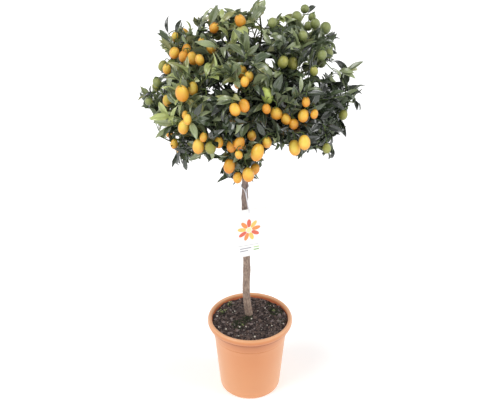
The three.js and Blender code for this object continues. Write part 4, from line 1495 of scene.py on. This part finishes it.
RINDS = {  # name: the top's colour, painted lighter as if lit, its blush, and the colours of the underside and of the edge seen aslant, painted darker as shade
    "rind_green": ((150, 158, 97), (134, 144, 86), (112, 123, 72), (108, 118, 72)),
    "rind_mid_green": ((158, 165, 102), (142, 151, 90), (120, 130, 76), (114, 124, 76)),
    "rind_fresh_green": ((206, 217, 120), (188, 202, 102), (150, 168, 76), (150, 166, 82)),
    "rind_olive": ((184, 180, 94), (164, 165, 84), (136, 138, 68), (134, 136, 68)),
    "rind_turning": ((180, 174, 86), (160, 160, 80), (132, 134, 66), (130, 132, 64)),
    "rind_yellow": ((243, 218, 98), (240, 206, 86), (230, 157, 50), (226, 156, 46)),
    "rind_amber": ((240, 204, 84), (236, 187, 69), (226, 146, 42), (220, 143, 40)),
    "rind_orange": ((238, 185, 70), (231, 165, 57), (218, 132, 36), (212, 131, 34)),
}
RIPE_RINDS = {
    "green": ("rind_green", "rind_mid_green"),
    "fresh": ("rind_fresh_green", "rind_fresh_green"),
    "turning": ("rind_olive", "rind_turning"),
    "yellow": ("rind_yellow", "rind_amber"),
    "orange": ("rind_amber", "rind_orange"),
}
# Painted light and shade on the fruit: the rind's colour runs from the underside's painted-shade colour to
# the top's lit colour, by which way the surface faces.
sunward, sunward_in, sunward_out = group_with(
    "sunward_side", {"Underside": None, "Top": None}, {"Color": "NodeSocketColor"}
)
surface, surface_parts = new_nodes(sunward, "ShaderNodeNewGeometry", "ShaderNodeSeparateXYZ")
sunward_share, sunward_mix = new_nodes(sunward, "ShaderNodeMapRange", "ShaderNodeMix")
sunward_share.interpolation_type = "SMOOTHSTEP"
sunward_share.inputs["From Min"].default_value = -0.75
sunward_share.inputs["From Max"].default_value = 0.45
sunward_mix.data_type = "RGBA"
wire(
    sunward,
    (surface, "Normal", surface_parts, 0),
    (surface_parts, "Z", sunward_share, "Value"),
    (sunward_share, 0, sunward_mix, "Factor"),
    (sunward_in, "Underside", sunward_mix, "A"),
    (sunward_in, "Top", sunward_mix, "B"),
    (sunward_mix, "Result", sunward_out, "Color"),
)


def rind_finish(name, top, blush, underside, edge):
    """A rind with painted light: lighter and yellower on top where the sun falls, and painted shade, darker
    and more orange, on its underside and at its edge.
    """
    rind = finish_of(
        name, top, blush, (60, 2, 1, 0.35, 0.65), (0.28, 0.36), (1500, 1, 1, 0.22, 0.0006),
        specular_ior_level=0.5,
    )
    side = placed_group(rind.node_tree, sunward, linear(*underside))
    lead_colour_through(rind, side, "Top", "Color")
    # painted shade: darker and more orange at the edge seen aslant
    paint_light_at_edges(rind, edge, 0.45, 0.9)
    return rind


rind_finishes = {name: rind_finish(name, *colours) for name, colours in RINDS.items()}
rind_names = list(rind_finishes)
fruit_meshes, fruit_slots = [fruit_mesh(item) for item in all_fruit], []
for number, (item, (_, faces)) in enumerate(zip(all_fruit, fruit_meshes)):
    rind = RIPE_RINDS[item.ripeness][int(2 * chance(DRAW["rind"], number))]
    fruit_slots += [rind_names.index(rind)] * len(faces)
fruit_piece = mesh_piece("fruit", *joined(fruit_meshes), list(rind_finishes.values()), fruit_slots)
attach(fruit_piece, "root")

stalks = [stalk_path(item) for item in all_fruit]
stalk_parts = joined(twig_tube(path, STALK_RADII, 6) for path in stalks)
stalks_piece = mesh_piece("fruit_stalks", *stalk_parts, [shoot_bark])
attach(stalks_piece, "root")
calyx_parts = joined(calyx_mesh(item) for item in all_fruit)
calyx_piece = mesh_piece("fruit_calyxes", *calyx_parts, [shoot_bark], smooth=False)
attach(calyx_piece, "root")


# ------------------------------------------------------------------------------ leaves
# Evergreen citrus leaves on short stalks: narrow, pointed, folded along a pale midrib and curving down,
# glossy deep green above, duller and paler beneath. They crowd to the shoots' tips and turn to the light.
LEAF_STATIONS = [0, 0.11, 0.20, 0.33, 0.47, 0.61, 0.74, 0.86, 0.94, 1]
LEAF_BLADE_FROM = 0.11
LEAF_COLUMNS = [-1, -0.52, -0.07, 0.07, 0.52, 1]
LEAF_PETIOLE = 0.11  # half width of the leaf's stalk, as a share of the blade's half width
LEAF_LENGTH, SPRAY_LEAF_LENGTH, LEAF_HALF_WIDTH = 0.050, 0.046, 0.160  # the last for its length
FRUIT_IN_VIEW = (5.0, 6.4)  # half the width and half the height of a fruit in the camera's view


def leaf_template(fold, bend, twist):
    """A unit leaf. Each point is given along and above the blade for its length, and across, along and above
    it for its width."""
    points, x, z = [], 0.0, 0.0
    for row, s in enumerate(LEAF_STATIONS):
        u = max(0.0, (s - LEAF_BLADE_FROM) / (1 - LEAF_BLADE_FROM))
        dip = bend * u - 0.25 * bend * (1 - u)
        if row:
            step = s - LEAF_STATIONS[row - 1]
            x, z = x + step * math.cos(dip), z - step * math.sin(dip)
        half = max(LEAF_PETIOLE * (1 - u), math.sin(math.pi * u ** 0.86))
        roll = twist * u
        if s == 1:
            points.append((x, z, 0, 0, 0))
            break
        flat = [(c * half * math.cos(fold), abs(c) * half * math.sin(fold)) for c in LEAF_COLUMNS]
        for c in (1, 4):
            flat[c] = (flat[c][0], flat[c][1] + 0.13 * half)
        flat.append((0, -0.07 * half - 0.03))
        for y, h in flat:
            side, high = y * math.cos(roll) - h * math.sin(roll), y * math.sin(roll) + h * math.cos(roll)
            points.append((x, z, side, high * math.sin(dip), high * math.cos(dip)))
    return np.array(points)


def leaf_faces():
    """Triangles of the unit leaf, and for each 0 on the upper side, 1 on the midrib or 2 on the underside."""
    faces, kinds, wide = [], [], len(LEAF_COLUMNS) + 1
    tip = (len(LEAF_STATIONS) - 1) * wide
    for row in range(len(LEAF_STATIONS) - 1):
        here, there = row * wide, (row + 1) * wide
        last = there == tip
        for c in range(5):
            a, b = here + c, here + c + 1
            kind = 1 if c == 2 else 0
            quad = [(a, tip, b)] if last else [(a, there + c, b), (b, there + c, there + c + 1)]
            faces += quad
            kinds += [kind] * len(quad)
        for c, d in ((0, 6), (6, 5)):
            a, b = here + c, here + d
            quad = [(a, b, tip)] if last else [(a, b, there + c), (b, there + d, there + c)]
            faces += quad
            kinds += [2] * len(quad)
    faces += [(c, c + 1, 6) for c in range(5)]
    return np.array(faces), np.array(kinds + [2] * 5)


# each leaf shape's fold, bend along the blade and twist, in degrees
LEAF_SHAPES = [
    (14, 24, 8), (26, 40, -10), (18, 58, 14), (32, 20, -6),
    (22, 75, 10), (12, 36, -16), (28, 50, 4), (20, 12, 12),
]
leaf_templates = [leaf_template(*[math.radians(v) for v in shape]) for shape in LEAF_SHAPES]
leaf_triangles, leaf_kinds = leaf_faces()

LEAF_TONES = {  # name: upper side, underside, smoothest and roughest
    "leaf_deep": ((41, 46, 39), (86, 95, 76), (0.12, 0.22)),
    "leaf_dark": ((47, 57, 42), (95, 105, 81), (0.13, 0.23)),
    "leaf_mid": ((76, 90, 62), (114, 125, 95), (0.15, 0.25)),
    "leaf_warm": ((119, 131, 92), (134, 144, 106), (0.18, 0.28)),
    "leaf_light": ((161, 173, 126), (162, 172, 132), (0.20, 0.30)),
    "leaf_olive": ((158, 160, 96), (158, 162, 114), (0.22, 0.32)),
    "leaf_young": ((186, 198, 120), (188, 200, 136), (0.22, 0.32)),
}
leaf_finishes, under_finishes, rib_finishes = [], [], []
for tone, (upper, under, gloss) in LEAF_TONES.items():
    darker = [0.86 * v for v in upper]
    leaf_finishes.append(finish_of(
        tone, upper, darker, (45, 3, 1, 0.35, 0.65), gloss, (500, 2, 1, 0.14, 0.0006), specular_ior_level=1.0,
    ))
    under_finishes.append(finish_of(
        tone + "_underside", under, [0.9 * v for v in under], (45, 2, 1, 0.35, 0.65), (0.55, 0.65),
        (700, 2, 1, 0.12, 0.0005), specular_ior_level=0.35,
    ))
    rib_finishes.append(finish_of(
        tone + "_midrib", [0.5 * (a + b) for a, b in zip(upper, under)], under, (45, 2, 1, 0.35, 0.65),
        (0.4, 0.5), (700, 2, 1, 0.1, 0.0004), specular_ior_level=0.4,
    ))

fruit_centres = np.array([f.centre for f in all_fruit])
fruit_sizes = np.array([(f.width / 2, f.length / 2) for f in all_fruit])
seen_places, seen_depths = in_view([f.centre for f in all_fruit if f.in_sight])


def meets_fruit(points):
    """Whether a leaf with those points runs into a fruit."""
    gap = np.abs(points[:, None] - fruit_centres[None])
    share = np.hypot(np.hypot(gap[..., 0], gap[..., 1]) / fruit_sizes[:, 0], gap[..., 2] / fruit_sizes[:, 1])
    return share.min() < 1.08


def hides_fruit(points):
    """Whether a leaf with those points lies before a fruit that shows in the view."""
    places, depths = in_view(points)
    gap = (places[:, None] - seen_places[None]) / np.array(FRUIT_IN_VIEW)
    return bool(np.any((np.hypot(gap[..., 0], gap[..., 1]) < 1) & (depths[:, None] < seen_depths[None])))


TONE_LIMITS = (-0.20, 0.02, 0.22, 0.40, 0.54, 0.64)


def tone_at(point, draw):
    """Deep green inside and below and lighter towards the sun on the upper left: painted shade and painted
    light over the leaves' own tones; young yellow-green here and there at the top.
    """
    out, height = crown_share(point), (point.z - crown_heart.z) / crown_half_height
    sun = 0.9 * (out - 0.75) + 0.35 * height - 0.25 * point.x / crown_half_width + 0.70 * (draw - 0.5)
    return sum(sun >= limit for limit in TONE_LIMITS)


leaves = []  # (group, root, direction, face, length, half width, shape, tone)


def leaf_samples(foot, direction, face, length, half):
    """Places on a leaf: six along its middle, and four at its sides."""
    across = face.cross(direction) * half * 0.85
    middle = [foot + direction * length * s for s in (0.2, 0.36, 0.52, 0.68, 0.84, 1)]
    sides = [middle[k] + across * side for k in (1, 3) for side in (1, -1)]
    return np.array(middle + sides)


def grow_leaves(number, group, path, count, first, tone, held_in):
    """Leaves along a shoot from the share first to its tip; held_in keeps them to the crown's outline."""
    before = len(leaves)
    for k in range(count):
        step = k / (count - 1)
        foot, run = along(path, first + (1 - first) * step ** 0.8)
        outward = (foot - crown_heart).normalized()
        for attempt in range(5):
            draw = (DRAW["leaf"], number, k, attempt)
            bearing = GOLDEN * (k + 0.4 * attempt) + TURN * chance(DRAW["leaf_turn"], number)
            angle = math.radians(lerp(72, 24, step) + 12 * swing(*draw, 1))
            direction = branching(run, angle, bearing)
            droop = UP * (0.10 + 0.34 * outward.z)
            stray = Vector([swing(*draw, i) for i in (2, 3, 4)])
            direction = (direction + droop + stray * 0.2).normalized()
            light = UP * 0.7 + outward * 0.35 + stray.yzx * 0.9
            if not held_in:
                light -= view_forward * 0.9
            face = (light - direction * light.dot(direction)).normalized()
            length = LEAF_LENGTH if held_in else SPRAY_LEAF_LENGTH
            length = length * (1 + 0.20 * swing(*draw, 5)) * (1 - 0.07 * attempt)
            length *= 0.86 if step > 0.85 else 1
            half = length * (LEAF_HALF_WIDTH + 0.022 * swing(*draw, 6))
            samples = leaf_samples(foot, direction, face, length, half)
            if held_in:
                middle, tip = Vector(samples[2]), Vector(samples[5])
                edge = edge_of_crown((tip - crown_heart).normalized())
                if crown_share(middle) > edge - 0.04 or crown_share(tip) > edge + 0.04:
                    continue
            if in_hollow(samples, 0.8 + 0.35 * chance(*draw, 10)) or meets_fruit(samples):
                continue
            if hides_fruit(samples) and (not held_in or chance(*draw, 7) < 0.91):
                continue
            own_tone = min(len(TONE_LIMITS), max(0, tone + int(2.2 * swing(*draw, 8))))
            shape = int(len(LEAF_SHAPES) * chance(*draw, 9))
            leaves.append((group, foot, direction, face, length, half, shape, own_tone))
            break
    return len(leaves) - before


rooted = np.array([path[0] for path in stalks + [shoot[1] for shoot in shoots + sprays]])


def carries(path):
    """Whether a stalk or another shoot starts on this run."""
    places = np.array([along(path, share)[0] for share in np.linspace(0.15, 1, 25)])
    return bool(np.linalg.norm(rooted[:, None] - places[None], axis=2).min() < 0.0015)


green_runs = []  # the shoots and sprays that carry leaves, fruit or other shoots
shoots = [(group, path) for group, path in shoots if not hides_fruit(np.array(path))]
for number, (group, path) in enumerate(shoots):
    count = 6 + int(3 * chance(DRAW["leaf_count"], number))
    tone = tone_at(path[-1], chance(DRAW["tone"], number))
    grown = grow_leaves(number, group, path, count, 0.2, tone, True)
    if grown > 1 or carries(path):
        green_runs.append(path)
for number, (group, path, count, tone) in enumerate(sprays):
    grow_leaves(1000 + number, group, path, count + 2, 0.45, tone, False)
    green_runs.append(path)


def leaves_mesh(group):
    """All leaves of one main bough, joined."""
    vertices, faces, slots, base = [], [], [], 0
    for shape, template in enumerate(leaf_templates):
        chosen = [leaf for leaf in leaves if leaf[0] == group and leaf[6] == shape]
        if not chosen:
            continue
        foot, direction, face = (np.array([leaf[i] for leaf in chosen]) for i in (1, 2, 3))
        length, half, tone = (np.array([leaf[i] for leaf in chosen]) for i in (4, 5, 7))
        across = np.cross(face, direction)
        forward = length[:, None] * template[:, 0] + half[:, None] * template[:, 3]
        above = length[:, None] * template[:, 1] + half[:, None] * template[:, 4]
        side = half[:, None] * template[:, 2]
        points = foot[:, None] + forward[..., None] * direction[:, None]
        points = points + side[..., None] * across[:, None] + above[..., None] * face[:, None]
        vertices.append(points.reshape(-1, 3))
        starts = base + len(template) * np.arange(len(chosen))
        faces.append((starts[:, None, None] + leaf_triangles[None]).reshape(-1, 3))
        slots.append((len(LEAF_TONES) * leaf_kinds[None] + tone[:, None]).reshape(-1))
        base += len(template) * len(chosen)
    return np.concatenate(vertices), np.concatenate(faces), np.concatenate(slots)


leaf_slots = leaf_finishes + rib_finishes + under_finishes
for group in MAIN_BOUGHS:
    some_vertices, some_faces, some_slots = leaves_mesh(group)
    leaves_piece = mesh_piece("leaves_" + group, some_vertices, some_faces, leaf_slots, some_slots)
    leaves_piece.data.set_sharp_from_angle(angle=math.radians(70))
    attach(leaves_piece, "root")
    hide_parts(*["foliage_" + name for name in MASSES if main_bough(name) == group])

wood_parts = [twig_tube(path, STEM_RADII, 8) for _, path in stems]
wood_parts += [twig_tube(path, TWIG_RADII, 7) for _, path in twigs]
twigs_piece = mesh_piece("twigs", *joined(wood_parts), [twig_bark])
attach(twigs_piece, "root")
shoot_parts = joined(twig_tube(path, SHOOT_RADII, 6) for path in green_runs)
shoots_piece = mesh_piece("shoots", *shoot_parts, [shoot_bark])
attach(shoots_piece, "root")


# ------------------------------------------------------------------------------ label
# A glossy white plastic card, printed on its face, that hangs under the crown with its face turned a
# little to one side. A thin white strap goes through its hole and round the stem.
card_centre = sum(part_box("label_card"), Vector()) / 2
card_turn = math.radians(20)
card_width, card_height, card_thickness, card_corner = 0.090, 0.130, 0.0008, 0.005
hole_radius, hole_inset = 0.003, 0.008
card_upright = Matrix.Rotation(card_turn, 4, "Z") @ Matrix.Rotation(math.pi / 2, 4, "X")
card_frame = Matrix.Translation(card_centre) @ card_upright


def oval(centre, radii, turn=0, points=40):
    """Points of an oval on the card's face, turned by an angle in degrees."""
    a, rows = math.radians(turn), []
    for k in range(points):
        t = TURN * k / points
        x, y = radii[0] * math.cos(t), radii[1] * math.sin(t)
        across, up = x * math.cos(a) - y * math.sin(a), x * math.sin(a) + y * math.cos(a)
        rows.append((centre[0] + across, centre[1] + up))
    return rows


def rounded_bar(centre, size, corner):
    """Points of a bar with rounded corners on the card's face."""
    rows = []
    for turn, (sx, sy) in zip((0, 90, 180, 270), ((1, 1), (-1, 1), (-1, -1), (1, -1))):
        middle = (centre[0] + sx * (size[0] / 2 - corner), centre[1] + sy * (size[1] / 2 - corner))
        rows += arc(middle, (corner, corner), turn, turn + 90, 6)
    return rows


def card_shape(name, outlines, material, thickness, height):
    """A flat shape in the card's plane, closed all round, from its outline and the outlines of its holes."""
    curve = bpy.data.curves.new(name + "_outline", "CURVE")
    curve.dimensions, curve.fill_mode, curve.extrude = "2D", "BOTH", thickness / 2
    for outline in outlines:
        spline = curve.splines.new("POLY")
        spline.points.add(len(outline) - 1)
        for point, (x, y) in zip(spline.points, outline):
            point.co = (x, y, 0, 1)
        spline.use_cyclic_u = True
    flat = placed(name + "_outline", curve)
    mesh = shaped_mesh(flat)
    bpy.data.objects.remove(flat)
    mesh.transform(card_frame @ Matrix.Translation((0, 0, height)))
    mesh.materials.clear()
    mesh.materials.append(material)
    mesh.name = name
    piece = placed(name, mesh)
    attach(piece, "root")
    return piece


card_plastic = finish_of(
    "card_plastic",
    (250, 250, 248), (246, 246, 244), (60, 2, 1, 0.35, 0.65), (0.28, 0.34), (400, 1, 1, 0.04, 0.0002),
)
card_outline = rounded_bar((0, 0), (card_width, card_height), card_corner)
card_hole = oval((0, card_height / 2 - hole_inset), (hole_radius, hole_radius), points=28)
card_piece = card_shape("card", [card_outline, card_hole], card_plastic, card_thickness, 0)
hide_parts("label_card")

# The print: a rosette of petals in warm colours round a pale middle, with short lines of grey below it.
ink_height, ink_thickness = card_thickness / 2 + 0.00006, 0.00010
INKS = {
    "coral": (232, 108, 84), "orange": (243, 152, 84), "yellow": (247, 208, 110), "cream": (252, 240, 180),
    "green": (122, 180, 84), "pale_green": (186, 222, 140), "grey": (168, 166, 176),
}
inks = {
    name: finish_of(
        "ink_" + name, colour, [0.96 * v for v in colour], (200, 2, 1, 0.35, 0.65), (0.34, 0.42),
        (400, 1, 1, 0.04, 0.0002),
    )
    for name, colour in INKS.items()
}
rosette_middle, petal_reach = (0.000, 0.008), 0.0185
for k in range(9):
    turn = 360 * k / 9 + 90
    place = [m + petal_reach * f(math.radians(turn)) for m, f in zip(rosette_middle, (math.cos, math.sin))]
    ink = inks[("coral", "orange", "yellow")[k % 3]]
    card_shape(f"print_petal_{k}", [oval(place, (0.0110, 0.0052), turn)], ink, ink_thickness, ink_height)
card_shape("print_middle", [oval(rosette_middle, (0.0062, 0.0062))], inks["cream"], ink_thickness, ink_height)
for k, (x, y, length, ink) in enumerate([
    (0.000, -0.034, 0.058, "grey"), (-0.009, -0.042, 0.030, "grey"), (-0.013, -0.049, 0.022, "grey"),
    (0.019, -0.042, 0.014, "pale_green"), (0.019, -0.049, 0.014, "green"),
]):
    bar = rounded_bar((x, y), (length, 0.0008 if k == 0 else 0.0028), 0.0003 if k == 0 else 0.0012)
    card_shape(f"print_line_{k}", [bar], inks[ink], ink_thickness, ink_height)

strap_radius, strap_height, strap_rise = 0.0010, 0.589, 0.004


def strap_path():
    """Through the card's hole, up both sides of its face to a knot, and round the back of the stem."""
    share = (strap_height - trunk_bottom) / (trunk_top - trunk_bottom)
    axis, reach = trunk_point(share), trunk_radius(share) + strap_radius + 0.0003
    normal = Vector((math.sin(card_turn), -math.cos(card_turn), 0))
    hole = card_centre + UP * (card_height / 2 - hole_inset + hole_radius - strap_radius - 0.0012)
    knot = Vector((axis.x + 0.002, axis.y - reach - 0.001, strap_height - 0.012))
    points = [hole, hole + normal * 0.003 + UP * 0.003, knot + Vector((strap_radius + wood_gap, -0.001, 0))]
    for angle in range(-45, 226, 30):
        a = math.radians(angle)
        points.append(axis + Vector((reach * math.cos(a), reach * math.sin(a), strap_rise * math.sin(a))))
    points.append(knot - Vector((strap_radius + wood_gap, 0, 0)))
    points.append(hole - normal * 0.003 + UP * 0.003)
    return points


strap_plastic = finish_of(
    "strap_plastic",
    (240, 238, 242), (228, 226, 232), (200, 2, 1, 0.35, 0.65), (0.3, 0.4), (900, 1, 1, 0.06, 0.0002),
)
strap_run = smooth_path(strap_path(), 8, loop=True)
strap_rope = tube(strap_run, [strap_radius] * len(strap_run), 10, loop=True)
strap_piece = mesh_piece("strap", *strap_rope, [strap_plastic])
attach(strap_piece, "root")
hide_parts("label_strap")
